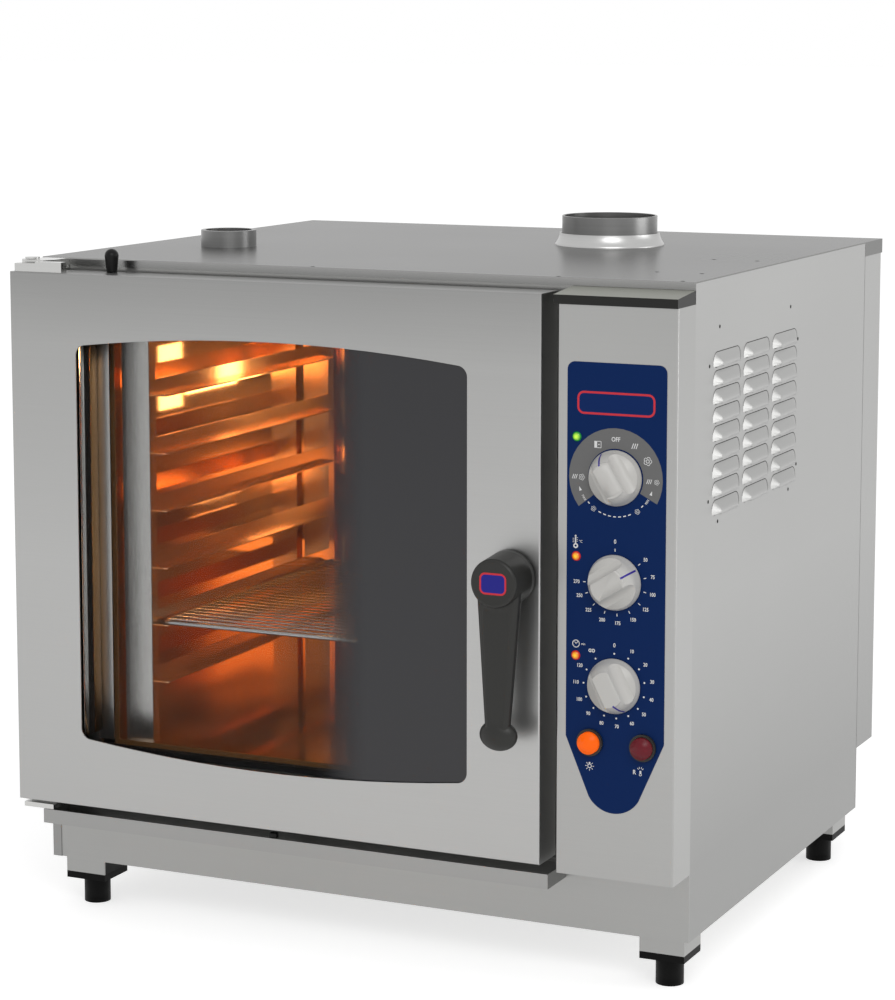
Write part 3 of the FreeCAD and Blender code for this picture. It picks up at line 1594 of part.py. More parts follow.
def make_controls():
    half, deep = size.switch_width / 2, size.switch_depth
    back = control_front + gauge
    gap = size.hinge_clearance
    for number, (name, label) in enumerate(
        (("mode", "mode_switch"), ("thermostat", "thermostat"), ("timer", "timer"))
    ):
        z = knob_z(number)
        housing = box(f"{name}_housing", (knob_x - half, back, z - half), (knob_x + half, back + deep, z + half))
        bore = rod(
            f"{name}_bore", (knob_x, back - gauge, z),
            size.spindle_diameter / 2 + size.running_clearance,
            size.spindle_length - size.knob_height / 2, "y",
        )
        keep(cut(f"{name}_casting", housing, bore), label)
        make_knob(name, z)
    pilots = []
    for number, z in enumerate(pilot_heights()):
        radius = size.pilot_diameter / 2
        stem = rod(f"pilot_stem_{number}", (pilot_x, overlay_front, z), radius, size.pilot_diameter * 2, "y")
        dome = new_body(f"pilot_dome_{number}")
        profile = new_sketch(dome, f"pilot_profile_{number}", "XZ")
        rise = size.pilot_rise
        dome_radius = (radius * radius + rise * rise) / (rise * 2)
        draw_outline(profile, [(ZERO, ZERO), (radius, ZERO), (ZERO, rise, dome_radius, 1)])
        revolve(dome, profile)
        dome.Placement.Rotation = Rotation(Vector(1, 0, 0), 90)
        place(dome, pilot_x, overlay_front, z)
        pilots.append(join(f"pilot_{number}", stem, dome))
    keep(group("pilot_lamps", *pilots), "pilot_lamps")


def make_knob(name, z):
    """A domed knob with a scoop on each side of the grip, and the spindle that it turns."""
    radius, tall, skirt = size.knob_diameter / 2, size.knob_height, size.knob_skirt
    body = new_body(f"{name}_knob_body")
    profile = new_sketch(body, f"{name}_knob_profile", "XZ")
    crown = size.knob_crown
    draw_outline(profile, [
        (ZERO, ZERO), (radius, ZERO), (radius, 1.5), (radius - size.knob_taper, skirt),
        (crown, tall - 2, tall * 1.5, 1), (crown - 2, tall, measure(2.2), 1), (ZERO, tall),
    ])
    revolve(body, profile)
    scoops = new_sketch(body, f"{name}_knob_scoops", "XZ", radius)
    half, floor, over = size.knob_ridge / 2, skirt + size.scoop_fall, tall + 1
    for sign in (1, -1):
        draw_outline(scoops, [
            (half * sign, over), (half * sign, tall - 3), (size.scoop_foot * sign, floor, size.scoop_radius, sign),
            ((radius + 1) * sign, skirt), ((radius + 1) * sign, over),
        ])
    pocket(body, scoops, radius * 2)
    bore = new_sketch(body, f"{name}_knob_bore", "XY")
    draw_circle(bore, ZERO, ZERO, size.spindle_diameter / 2 + size.running_clearance)
    pocket(body, bore, tall / 2, True)
    upright = Rotation(Vector(1, 0, 0), 90)
    body.Placement.Rotation = Rotation(Vector(0, 1, 0), SIZES[f"{name}_pointer"]) * upright
    keep(body, f"{name}_knob", (knob_x, overlay_front - size.knob_gap, z))
    spindle = rod(
        f"{name}_spindle", (knob_x, overlay_front - size.knob_gap - tall / 2 + size.hinge_clearance, z),
        size.spindle_diameter / 2, size.spindle_length, "y",
    )
    keep(spindle, f"{name}_spindle")


def make_buttons():
    bezels, contacts = [], []
    radius = size.button_diameter / 2
    slide = size.hinge_clearance
    depth = size.contact_depth
    neck_y = control_front + gauge
    block_y = neck_y + size.button_neck
    for number, name in enumerate(("lamp_button", "reset_button")):
        x = button_x(number)
        bezels.append(ring(
            f"{name}_bezel", (x, overlay_front - size.bezel_rise, button_z),
            size.bezel_diameter / 2, radius + slide, size.bezel_rise, "y",
        ))
        lens = rod(
            f"{name}_lens", (x, overlay_front - size.button_rise, button_z), radius,
            size.button_rise + size.bezel_rise, "y",
        )
        plunger = rod(
            f"{name}_plunger", (x, overlay_front + size.bezel_rise, button_z),
            size.plunger_diameter / 2, size.plunger_length, "y",
        )
        keep(join(name, lens, plunger), name)
        half = size.contact_width / 2
        block = box(
            f"{name}_contact", (x - half, block_y, button_z - half), (x + half, block_y + depth, button_z + half),
        )
        neck = ring(
            f"{name}_neck", (x, neck_y, button_z), size.bezel_diameter / 2, radius + slide * 2,
            size.button_neck, "y",
        )
        bore = rod(
            f"{name}_contact_bore", (x, neck_y, button_z),
            size.plunger_diameter / 2 + size.running_clearance, size.button_neck + depth - gauge, "y",
        )
        contacts.append(cut(f"{name}_contact_block", join(f"{name}_contact_shape", block, neck), bore))
    keep(group("button_bezels", *bezels), "button_bezels")
    keep(group("button_contacts", *contacts), "button_contacts")


# ---------------------------------------------------------------- assembly, checks and export

def check_document():
    """Every object is sound, every pocket and groove really removed something."""
    for item in doc.Objects:
        if {"Invalid", "Error"} & set(item.State):
            raise RuntimeError(f"{item.Label} did not build: {item.State} {item.getStatusString()}")
        if item.TypeId in ("PartDesign::Pocket", "PartDesign::Groove", "PartDesign::SubtractiveLoft"):
            if item.Shape.Volume > item.BaseFeature.Shape.Volume - 0.5:
                raise RuntimeError(f"{item.Label} cuts nothing")
    for item in NODES:
        if item.Shape.isNull() or not item.Shape.isValid() or not item.Shape.Solids:
            raise RuntimeError(f"{item.Label} is not a sound solid")


make_side_panels()
make_top_cover()
make_rear_cover()
make_base()
make_plinth()
make_gutter()
make_legs()
make_cavity()
make_front_frame()
make_gasket()
make_racks()
make_shelf()
make_lamps()
make_baffle()
make_fan()
make_heat_exchanger()
make_services()
make_flue()
make_door()
make_hinges()
make_handle()
make_keeper()
make_control_box()
make_controls()
make_buttons()

doc.recompute()
check_document()
os.makedirs("parts", exist_ok=True)
for node in NODES:
    node.Shape.exportStep(f"parts/{node.Label}.step")
    print(f"{node.Label}: {len(node.Shape.Solids)} solids, {node.Shape.Volume / 1000:.1f} cm3")
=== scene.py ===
"""Dresses the combi steamer oven: its steels, glass, lit cavity, dials and small fittings."""
import json
import math

import bmesh
import bpy
from mathutils import Matrix, Vector


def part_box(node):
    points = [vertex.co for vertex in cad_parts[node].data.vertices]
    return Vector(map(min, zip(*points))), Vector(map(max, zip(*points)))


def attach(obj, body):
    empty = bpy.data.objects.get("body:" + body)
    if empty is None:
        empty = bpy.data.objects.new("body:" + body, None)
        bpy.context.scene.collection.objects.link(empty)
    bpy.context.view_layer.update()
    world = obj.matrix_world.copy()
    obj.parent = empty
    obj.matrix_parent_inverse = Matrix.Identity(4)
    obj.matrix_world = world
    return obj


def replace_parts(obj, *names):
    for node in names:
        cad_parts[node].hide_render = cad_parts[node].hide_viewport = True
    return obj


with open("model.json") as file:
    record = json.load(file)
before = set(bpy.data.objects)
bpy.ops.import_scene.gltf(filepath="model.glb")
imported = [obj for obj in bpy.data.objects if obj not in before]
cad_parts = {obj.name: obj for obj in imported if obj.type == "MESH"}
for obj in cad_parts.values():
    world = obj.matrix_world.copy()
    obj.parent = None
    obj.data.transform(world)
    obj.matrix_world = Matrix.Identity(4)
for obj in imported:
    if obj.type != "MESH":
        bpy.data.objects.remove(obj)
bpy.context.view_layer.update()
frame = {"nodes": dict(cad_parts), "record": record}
mm = 0.001

# The casing's own corner: its left side, the front edge of its side panels, and the floor.
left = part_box("top_cover")[0].x
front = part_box("cavity_front_frame")[0].y
# The plane of the right side panel and the height of the top cover.
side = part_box("top_cover")[1].x
cover_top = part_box("top_cover")[1].z


def at(x, y, z):
    """A point given in millimetres from the casing's corner, in the row frame."""
    return Vector((left + x * mm, front + y * mm, z * mm))


def middle_of(node):
    low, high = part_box(node)
    return (low + high) / 2


# ---------------------------------------------------------------- nodes


def connect(tree, socket, value):
    """Links an input to another node's output, or sets it to a plain value."""
    if isinstance(value, bpy.types.NodeSocket):
        tree.links.new(value, socket)
    else:
        socket.default_value = value


def add(tree, kind, inputs=None, **settings):
    """A node with its settings, and its inputs given by name or number."""
    node = tree.nodes.new(kind)
    for name, value in settings.items():
        setattr(node, name, value)
    for name, value in (inputs or {}).items():
        connect(tree, node.inputs[name], value)
    return node


def math_node(tree, operation, *values):
    return add(tree, "ShaderNodeMath", dict(enumerate(values)), operation=operation).outputs[0]


def fit(tree, value, low, high, to_low, to_high):
    """A value carried from one range to another and held at its ends."""
    return add(tree, "ShaderNodeMapRange", {0: value, 1: low, 2: high, 3: to_low, 4: to_high}).outputs[0]


def opaque(colour):
    """A colour with full opacity; another node's output passes as it is."""
    return colour if isinstance(colour, bpy.types.NodeSocket) else (*colour, 1)


def blend_colour(tree, share, first, second):
    """One colour that turns into another as the share goes from 0 to 1."""
    inputs = {0: share, 6: opaque(first), 7: opaque(second)}
    return add(tree, "ShaderNodeMix", inputs, data_type="RGBA").outputs[2]


def object_place(tree):
    return add(tree, "ShaderNodeTexCoord").outputs["Object"]


def axis_of(tree, vector, axis):
    return add(tree, "ShaderNodeSeparateXYZ", {0: vector}).outputs[axis]


def noise(tree, place, scale, detail=2.0, roughness=0.5):
    inputs = {"Vector": place, "Scale": scale, "Detail": detail, "Roughness": roughness}
    return add(tree, "ShaderNodeTexNoise", inputs).outputs["Fac"]


def new_group(name, inputs, outputs):
    tree = bpy.data.node_groups.new(name, "ShaderNodeTree")
    for label, kind, default in inputs:
        socket = tree.interface.new_socket(label, in_out="INPUT", socket_type=kind)
        socket.default_value = default
    for label, kind in outputs:
        tree.interface.new_socket(label, in_out="OUTPUT", socket_type=kind)
    return tree, tree.nodes.new("NodeGroupInput"), tree.nodes.new("NodeGroupOutput")


# Painted light and shade: factors on the sheet's colour, and the heights in metres where they hold.
painted_shade_labels = ("Low Shade", "Middle Shade", "High Shade", "Top Shade")
painted_shade_heights = (0.15, 0.45, 0.72, 0.80)


def make_rolled_sheet():
    """Grain of rolled and brushed sheet, faint smears of cleaning, and painted light and shade that shifts
    with height.
    """
    tree, given, out = new_group(
        "rolled_sheet",
        [("Colour", "NodeSocketColor", (0.5, 0.5, 0.5, 1)), ("Stretch", "NodeSocketVector", (3, 60, 900)),
         ("Grain", "NodeSocketFloat", 0.1), ("Smear", "NodeSocketFloat", 0.1),
         ("Roughness", "NodeSocketFloat", 0.35), *((label, "NodeSocketFloat", 1.0) for label in painted_shade_labels)],
        [("Colour", "NodeSocketColor"), ("Roughness", "NodeSocketFloat"), ("Height", "NodeSocketFloat")],
    )
    place = object_place(tree)
    # Painted light and shade: a factor on the colour that shifts with height.
    height = axis_of(tree, place, "Z")
    painted_shades = [given.outputs[label] for label in painted_shade_labels]
    painted_shade = fit(tree, height, painted_shade_heights[0], painted_shade_heights[1], painted_shades[0], painted_shades[1])
    for step in (1, 2):
        rise = math_node(tree, "SUBTRACT", painted_shades[step + 1], painted_shades[step])
        share = fit(tree, height, painted_shade_heights[step], painted_shade_heights[step + 1], 0.0, 1.0)
        painted_shade = math_node(tree, "MULTIPLY_ADD", share, rise, painted_shade)

    drawn = add(tree, "ShaderNodeVectorMath", {0: place, 1: given.outputs["Stretch"]}, operation="MULTIPLY")
    grain = noise(tree, drawn.outputs[0], 1.0, detail=5.0, roughness=0.65)
    smear = noise(tree, place, 3.2, detail=3.0)
    grain_off = math_node(tree, "MULTIPLY", math_node(tree, "SUBTRACT", grain, 0.5), given.outputs["Grain"])
    smear_off = math_node(tree, "MULTIPLY", math_node(tree, "SUBTRACT", smear, 0.5), given.outputs["Smear"])
    wander = math_node(tree, "ADD", grain_off, smear_off)
    gain = math_node(tree, "ADD", wander, painted_shade)
    scaled = add(tree, "ShaderNodeVectorMath", {0: given.outputs["Colour"], "Scale": gain}, operation="SCALE")
    rough = math_node(tree, "ADD", given.outputs["Roughness"], math_node(tree, "MULTIPLY", wander, 0.6))
    tree.links.new(scaled.outputs[0], out.inputs["Colour"])
    tree.links.new(rough, out.inputs["Roughness"])
    tree.links.new(grain, out.inputs["Height"])
    return tree


rolled_sheet = make_rolled_sheet()
along_sheet = (3, 60, 900)
no_painted_shade = (1.0, 1.0, 1.0, 1.0)

# ---------------------------------------------------------------- kinds of finish


def new_material(name):
    material = bpy.data.materials.new(name)
    material.use_nodes = True
    tree = material.node_tree
    return material, tree, tree.nodes["Principled BSDF"]


def lay_sheet(tree, shader, colour, roughness, stretch, grain=0.1, smear=0.1, painted_shades=no_painted_shade):
    """Places the rolled sheet in a material, and feeds its colour and roughness to the shader."""
    inputs = {"Colour": opaque(colour), "Stretch": stretch, "Grain": grain, "Smear": smear,
              "Roughness": roughness, **dict(zip(painted_shade_labels, painted_shades))}
    sheet = add(tree, "ShaderNodeGroup", inputs, node_tree=rolled_sheet)
    tree.links.new(sheet.outputs["Colour"], shader.inputs["Base Color"])
    tree.links.new(sheet.outputs["Roughness"], shader.inputs["Roughness"])
    return sheet


def sheet_steel(name, colour, stretch=along_sheet, grain=0.12, smear=0.1, roughness=0.35, painted_shades=no_painted_shade,
                edge=1.0):
    """Stainless sheet; edge is how much of its light is left where it is seen along its surface."""
    material, tree, shader = new_material(name)
    sheet = lay_sheet(tree, shader, colour, roughness, stretch, grain, smear, painted_shades)
    relief = {"Height": sheet.outputs["Height"], "Strength": 0.02, "Distance": 0.0005}
    tree.links.new(add(tree, "ShaderNodeBump", relief).outputs[0], shader.inputs["Normal"])
    shader.inputs["Metallic"].default_value = 1.0
    shader.inputs["Specular Tint"].default_value = (edge, edge, edge, 1)
    return material


def plain(name, colour, roughness=0.5, metallic=0.0, speckle=0.06, size=400, shine=0.5):
    """A moulded or painted finish with a fine speckle."""
    material, tree, shader = new_material(name)
    lay_sheet(tree, shader, colour, roughness, (size, size, size), speckle, speckle)
    shader.inputs["Metallic"].default_value = metallic
    shader.inputs["Specular IOR Level"].default_value = shine
    return material


def mottle_roughness(tree, shader, scale, low, high):
    """A gloss that wanders a little over the surface."""
    mottle = noise(tree, object_place(tree), scale)
    tree.links.new(fit(tree, mottle, 0.3, 0.7, low, high), shader.inputs["Roughness"])


def window_tint():
    """Clear towards the hinges and dark grey towards the handle."""
    material, tree, shader = new_material("window_glass_tinted")
    hinge_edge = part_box("outer_glass")[0].x
    fade_start, fade_end = hinge_edge + 0.335, hinge_edge + 0.405
    clearest, darkest = 0.03, 0.97
    across = axis_of(tree, object_place(tree), "X")
    share = fit(tree, across, fade_start, fade_end, clearest, darkest)
    share.node.interpolation_type = "SMOOTHSTEP"
    tree.links.new(share, shader.inputs["Alpha"])
    mottle_roughness(tree, shader, 4.0, 0.05, 0.09)
    shader.inputs["Base Color"].default_value = (0.013, 0.013, 0.017, 1)
    return material


def clear_glass(name, colour, alpha):
    material, tree, shader = new_material(name)
    shader.inputs["Base Color"].default_value = (*colour, 1)
    mottle_roughness(tree, shader, 6.0, 0.03, 0.048)
    shader.inputs["Alpha"].default_value = alpha
    return material


def lit(name, colour, glow, strength, shine=0.5):
    """A lens or bulb that glows by itself, its body flecked with the colour of its glow."""
    material, tree, shader = new_material(name)
    fleck = fit(tree, noise(tree, object_place(tree), 500.0), 0.3, 0.7, 0.0, 0.15)
    tree.links.new(blend_colour(tree, fleck, colour, glow), shader.inputs["Base Color"])
    shader.inputs["Roughness"].default_value = 0.3
    shader.inputs["Emission Color"].default_value = (*glow, 1)
    shader.inputs["Emission Strength"].default_value = strength
    shader.inputs["Specular IOR Level"].default_value = shine
    return material


def warmed_steel(name, near, deep, roughness, start=0.009, end=0.014):
    """Polished steel in the cavity, its colour painted with the amber of the lamps' light and shade: one
    colour at the doorway and, from start to end behind it, another.
    """
    material, tree, shader = new_material(name)
    share = fit(tree, axis_of(tree, object_place(tree), "Y"), front + start, front + end, 0.0, 1.0)
    lay_sheet(tree, shader, blend_colour(tree, share, near, deep), roughness, (5, 5, 5), 0.12, 0.25)
    shader.inputs["Metallic"].default_value = 0.9
    return material


def doorway_steel():
    """The cavity's front frame: a painted amber reflection of the lit cavity in a ring round the opening, and
    plain sheet beyond it.
    """
    material, tree, shader = new_material("doorway_steel")
    low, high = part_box("cavity_shell")
    spot = {0: object_place(tree), 1: (low + high) / 2}
    spot = add(tree, "ShaderNodeVectorMath", spot, operation="SUBTRACT").outputs[0]
    away = add(tree, "ShaderNodeVectorMath", {0: spot}, operation="ABSOLUTE").outputs[0]
    gap = math_node(tree, "MAXIMUM",
                    math_node(tree, "SUBTRACT", axis_of(tree, away, "X"), (high.x - low.x) / 2),
                    math_node(tree, "SUBTRACT", axis_of(tree, away, "Z"), (high.z - low.z) / 2))
    ring_start, ring_end = 0.020, 0.030
    # Painted reflection: the amber of the lit cavity, in a ring round the opening.
    painted_reflection = fit(tree, gap, ring_start, ring_end, 1.0, 0.0)
    colour = blend_colour(tree, painted_reflection, (0.42, 0.42, 0.41), (0.55, 0.27, 0.10))
    lay_sheet(tree, shader, colour, 0.2, along_sheet, grain=0.2)
    shader.inputs["Metallic"].default_value = 0.7
    return material


def lens_heights(smallest_gap=0.02):
    """The lowest and highest point of each pilot lens, from the lowest lens up."""
    heights = sorted(vertex.co.z for vertex in frame["nodes"]["pilot_lamps"].data.vertices)
    breaks = [n for n in range(1, len(heights)) if heights[n] - heights[n - 1] > smallest_gap]
    return [(heights[first], heights[last - 1]) for first, last in zip([0, *breaks], [*breaks, len(heights)])]


def pilot_lens():
    """A small domed lens, bright in the middle and deep at its rim: green for the top one, orange below."""
    material, tree, shader = new_material("pilot_lens")
    place = object_place(tree)
    low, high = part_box("pilot_lamps")
    lenses = lens_heights()
    nearest = None
    for bottom, top in lenses:
        tip = ((low.x + high.x) / 2, low.y, (bottom + top) / 2)
        away = add(tree, "ShaderNodeVectorMath", {0: place, 1: tip}, operation="DISTANCE").outputs["Value"]
        nearest = math_node(tree, "MINIMUM", nearest, away) if nearest else away
    upper = math_node(tree, "GREATER_THAN", axis_of(tree, place, "Z"), lenses[-1][0] - 0.005)
    middle = blend_colour(tree, upper, (1.0, 0.55, 0.02), (0.55, 0.95, 0.05))
    rim = blend_colour(tree, upper, (0.50, 0.012, 0.0), (0.0, 0.20, 0.015))
    spread = fit(tree, nearest, 0.0008, (high.x - low.x) * 0.46, 0.0, 1.0)
    colour = blend_colour(tree, spread, middle, rim)
    tree.links.new(colour, shader.inputs["Base Color"])
    tree.links.new(colour, shader.inputs["Emission Color"])
    shader.inputs["Emission Strength"].default_value = 0.40
    shader.inputs["Roughness"].default_value = 0.2
    return material


def cap_paint():
    """Grey-green on top, near black round its front and side."""
    material, tree, shader = new_material("cap_paint")
    normal = add(tree, "ShaderNodeNewGeometry").outputs["True Normal"]
    top = math_node(tree, "GREATER_THAN", axis_of(tree, normal, "Z"), 0.6)
    colour = blend_colour(tree, top, (0.010, 0.010, 0.009), (0.30, 0.305, 0.27))
    lay_sheet(tree, shader, colour, 0.45, (300, 300, 300))
    shader.inputs["Specular IOR Level"].default_value = 0.25
    return material


# ---------------------------------------------------------------- finishes of the CAD pieces

undressed = set(frame["nodes"])


def finish(material, *nodes):
    """Puts a material on CAD nodes."""
    for node in nodes:
        mesh = frame["nodes"][node].data
        mesh.materials.clear()
        mesh.materials.append(material)
        undressed.remove(node)
    return material


def finish_of(node):
    return frame["nodes"][node].data.materials[0]


# outer sheets; their factors by height are painted light and shade: the door darker towards the top, the
# casing darker towards the bottom
finish(sheet_steel("door_steel", (0.36, 0.36, 0.355), grain=0.10, smear=0.06, painted_shades=(1.10, 1.17, 1.03, 0.82)),
       "door_skin")
finish(sheet_steel("panel_steel", (0.375, 0.375, 0.368), stretch=(4, 4, 500), grain=0.05,
                   painted_shades=(0.94, 1.0, 0.98, 0.96)),
       "control_box")
casing_steel = finish(
    sheet_steel("casing_steel", (0.418, 0.418, 0.411), stretch=(4, 4, 400), grain=0.04,
                painted_shades=(0.64, 0.87, 0.92, 0.94)),
    "left_side_panel", "right_side_panel", "rear_cover")
base_steel = finish(sheet_steel("base_steel", (0.325, 0.325, 0.318), stretch=(4, 4, 400), grain=0.04),
                    "base_pan", "plinth_front", "leg_brackets")
finish(sheet_steel("gutter_steel", (0.30, 0.30, 0.295), stretch=(4, 4, 400), grain=0.04), "drip_gutter")
finish(sheet_steel("top_steel", (0.30, 0.30, 0.295), stretch=(4, 300, 4), grain=0.04, roughness=0.26,
                   edge=0.60),
       "top_cover")

# cavity; its amber and brown are painted lamp light and shade, changing behind the doorway
finish(warmed_steel("cavity_steel", (0.56, 0.34, 0.18), (0.60, 0.36, 0.19), 0.09),
       "cavity_shell", "fan_baffle", "heat_exchanger")
finish(warmed_steel("rack_steel", (0.44, 0.44, 0.43), (0.66, 0.40, 0.22), 0.22), "left_rack", "right_rack")
finish(warmed_steel("wire_steel", (0.40, 0.40, 0.39), (0.26, 0.18, 0.11), 0.25, start=0.024, end=0.16),
       "wire_shelf", "fan_impeller", "fan_shaft")
finish(sheet_steel("frame_steel", (0.42, 0.42, 0.41)), "door_liner")
finish(doorway_steel(), "cavity_front_frame")

# hinges, latch, spindles, pipes and fittings
polished_steel = finish(
    sheet_steel("polished_steel", (0.52, 0.52, 0.51), stretch=(2, 2, 300), grain=0.08, roughness=0.16),
    "hinge_brackets", "door_hinge_pins", "latch_keeper", "latch_shaft", "mode_spindle", "thermostat_spindle",
    "timer_spindle", "button_contacts")
finish(sheet_steel("flue_steel", (0.22, 0.22, 0.218), stretch=(2, 2, 500), grain=0.2, roughness=0.30),
       "flue_tube", "vent_tube")
finish(sheet_steel("collar_steel", (0.48, 0.48, 0.475), stretch=(2, 2, 500), grain=0.1, roughness=0.32),
       "flue_collar")
finish(sheet_steel("drain_steel", (0.5, 0.5, 0.49), roughness=0.25), "drain_pipe")
finish(plain("brass_fitting", (0.60, 0.42, 0.18), 0.3, metallic=1.0), "water_valve", "gas_valve")
finish(plain("copper_pipe", (0.62, 0.34, 0.20), 0.25, metallic=1.0), "steam_pipe")
finish(plain("motor_paint", (0.16, 0.17, 0.18), 0.45),
       "fan_motor", "mode_switch", "thermostat", "timer", "lamp_housings")
# Painted reflection: the inner spacer's amber stands in for the lit cavity mirrored in its steel.
spacer_amber_reflection = sheet_steel("spacer_amber_reflection", (0.34, 0.19, 0.08), stretch=(2, 2, 300), grain=0.3,
                            roughness=0.08)

# rubber, wool, plastic and paint
finish(plain("mineral_wool", (0.62, 0.56, 0.42), 0.95, speckle=0.5, size=300), "cavity_insulation")
seal_rubber = finish(plain("seal_rubber", (0.008, 0.008, 0.008), 0.7, shine=0.08),
                     "door_gasket", "glass_seals")
finish(plain("foot_plastic", (0.002, 0.002, 0.002), 0.5, shine=0.10), "feet")
black_plastic = finish(plain("black_plastic", (0.004, 0.004, 0.004), 0.35, shine=0.18),
                       "door_peg", "cable_gland")
finish(plain("bezel_plastic", (0.030, 0.029, 0.024), 0.4, shine=0.3), "button_bezels")
finish(plain("handle_plastic", (0.020, 0.020, 0.018), 0.36, speckle=0.15, size=900, shine=0.32),
       "handle_lever")
finish(plain("knob_plastic", (0.60, 0.59, 0.565), 0.32, speckle=0.04),
       "mode_knob", "thermostat_knob", "timer_knob")
finish(plain("overlay_film", (0.0008, 0.018, 0.098), 0.42, shine=0.10), "control_overlay")
finish(cap_paint(), "control_cap")

# glass and lamps
finish(window_tint(), "outer_glass")
finish(clear_glass("inner_window", (0.08, 0.05, 0.03), 0.06), "inner_glass")
finish(clear_glass("lamp_glass", (0.95, 0.85, 0.6), 0.35), "lamp_glasses")
finish(lit("lamp_bulb", (1.0, 0.8, 0.5), (1.0, 0.62, 0.25), 12.0), "lamp_bulbs")
finish(lit("orange_lens", (0.80, 0.10, 0.0), (1.0, 0.13, 0.0), 0.42, shine=0.2), "lamp_button")
finish(lit("red_lens", (0.125, 0.005, 0.013), (0.3, 0.0, 0.01), 0.03, shine=0.25), "reset_button")
finish(pilot_lens(), "pilot_lamps")

if undressed:
    raise SystemExit(f"no finish for {sorted(undressed)}")

# prints and painted marks
white_print = plain("white_print", (0.80, 0.80, 0.80), 0.5, speckle=0.08, size=900)
grey_print = plain("grey_print", (0.165, 0.165, 0.165), 0.5, speckle=0.05, size=900, shine=0.2)
red_border = plain("red_border", (0.62, 0.012, 0.03), 0.4, speckle=0.05, size=900)
plate_blue = plain("plate_blue", (0.0010, 0.019, 0.112), 0.4, speckle=0.05, size=900, shine=0.12)
badge_blue = plain("badge_blue", (0.018, 0.018, 0.26), 0.4, speckle=0.05, size=900, shine=0.2)
mark_blue = plain("mark_blue", (0.030, 0.012, 0.30), 0.4, speckle=0.05, size=900)
louvre_shadow = plain("louvre_shadow", (0.06, 0.06, 0.058), 0.7, shine=0.1)
hole_black = plain("hole_black", (0.004, 0.004, 0.004), 0.8, shine=0.1)
seam_shadow = plain("seam_shadow", (0.20, 0.20, 0.195), 0.6)

# ---------------------------------------------------------------- making pieces


def make_piece(work, name, body, materials, crease=None):
    """Turns finished mesh work into an object that rides on a body."""
    mesh = bpy.data.meshes.new(name)
    work.to_mesh(mesh)
    work.free()
    if crease is not None:
        mesh.shade_smooth()
        mesh.set_sharp_from_angle(angle=math.radians(crease))
    for material in materials if isinstance(materials, list) else [materials]:
        mesh.materials.append(material)
    piece = bpy.data.objects.new(name, mesh)
    bpy.context.scene.collection.objects.link(piece)
    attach(piece, body)
    return piece


def welded(node):
    work = bmesh.new()
    work.from_mesh(frame["nodes"][node].data)
    bmesh.ops.remove_doubles(work, verts=work.verts, dist=1e-6)
    return work


def eased_block(work, place, size, offset, segments):
    """A block of a given size round a place, with rounded edges."""
    bmesh.ops.create_cube(work, size=1.0, matrix=Matrix.Translation(place) @ Matrix.Diagonal((*size, 1)))
    bmesh.ops.bevel(work, geom=work.edges[:], offset=offset, offset_type="OFFSET", affect="EDGES",
                    segments=segments, profile=0.5, material=-1)


# ---------------------------------------------------------------- smooth skins over CAD pieces


def smooth_copy(node, body, crease, face_back=0.0, foot_off=0.0):
    """A welded, smooth-shaded skin for a turned or moulded CAD node; its front and back can be eased in."""
    low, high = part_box(node)
    work = welded(node)
    for vert in work.verts:
        if vert.co.y < low.y + 1e-5:
            vert.co.y += face_back
        elif vert.co.y > high.y - 1e-5:
            vert.co.y -= foot_off
    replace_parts(make_piece(work, f"{node}_skin", body, finish_of(node), crease), node)


def hood_outline(panel, flat):
    """Painted shade: a thin dark line on the flat sheet, along the top and the rear end of each pressed hood.
    """
    width = 0.0009
    lift = Vector((0.0001, 0, 0))
    outline = bmesh.new()
    for edge in panel.edges:
        hoods = [face for face in edge.link_faces if face not in flat]
        if len(edge.link_faces) != 2 or len(hoods) != 1:
            continue
        slope = hoods[0].normal
        if slope.x > 0.5 and (slope.z > 0.10 or slope.y > 0.30):
            ends = [outline.verts.new(vert.co + lift) for vert in edge.verts]
            drawn = bmesh.ops.extrude_edge_only(outline, edges=[outline.edges.new(ends)])
            far_ends = [item for item in drawn["geom"] if isinstance(item, bmesh.types.BMVert)]
            away = Vector((0, slope.y, slope.z)).normalized() * width
            bmesh.ops.translate(outline, vec=away, verts=far_ends)
    bmesh.ops.remove_doubles(outline, verts=outline.verts, dist=1e-6)
    outline.normal_update()
    bmesh.ops.reverse_faces(outline, faces=[face for face in outline.faces if face.normal.x < 0])
    return outline


def pressed_panel(node):
    """A side panel whose pressed hoods are shaded smooth while its flat sheet stays flat."""
    work = welded(node)
    work.normal_update()
    flat = {face for face in work.faces
            if abs(face.normal.x) > 0.9999 and abs(face.calc_center_median().x - side) < 0.0001}
    sharp = [edge.index for edge in work.edges if any(face in flat for face in edge.link_faces)]
    smooth = [face not in flat for face in work.faces]
    outline = hood_outline(work, flat)
    piece = make_piece(work, f"{node}_skin", "cabinet", finish_of(node), 42)
    for number in sharp:
        piece.data.edges[number].use_edge_sharp = True
    piece.data.polygons.foreach_set("use_smooth", smooth)
    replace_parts(piece, node)
    make_piece(outline, "louvre_shade_line", "cabinet", louvre_shadow)


def turned_tube(node):
    """An open tube turned about its upright axis, with the wall of the node that it stands for."""
    steps = 96
    ease = 0.0004
    low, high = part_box(node)
    centre = (low + high) / 2
    outer = (high.x - low.x) / 2
    inner = min((vertex.co.xy - centre.xy).length for vertex in frame["nodes"][node].data.vertices)
    work = bmesh.new()
    ring = [work.verts.new((centre.x + radius, centre.y, z)) for radius, z in (
        (outer, low.z), (outer, high.z - ease), (outer - ease, high.z), (inner + ease, high.z),
        (inner, high.z - ease), (inner, low.z))]
    edges = [work.edges.new((ring[n - 1], ring[n])) for n in range(len(ring))]
    bmesh.ops.spin(work, geom=[*ring, *edges], cent=centre, axis=(0, 0, 1), angle=2 * math.pi, steps=steps,
                   use_merge=True)
    bmesh.ops.recalc_face_normals(work, faces=work.faces)
    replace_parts(make_piece(work, f"{node}_skin", "cabinet", finish_of(node), 35), node)


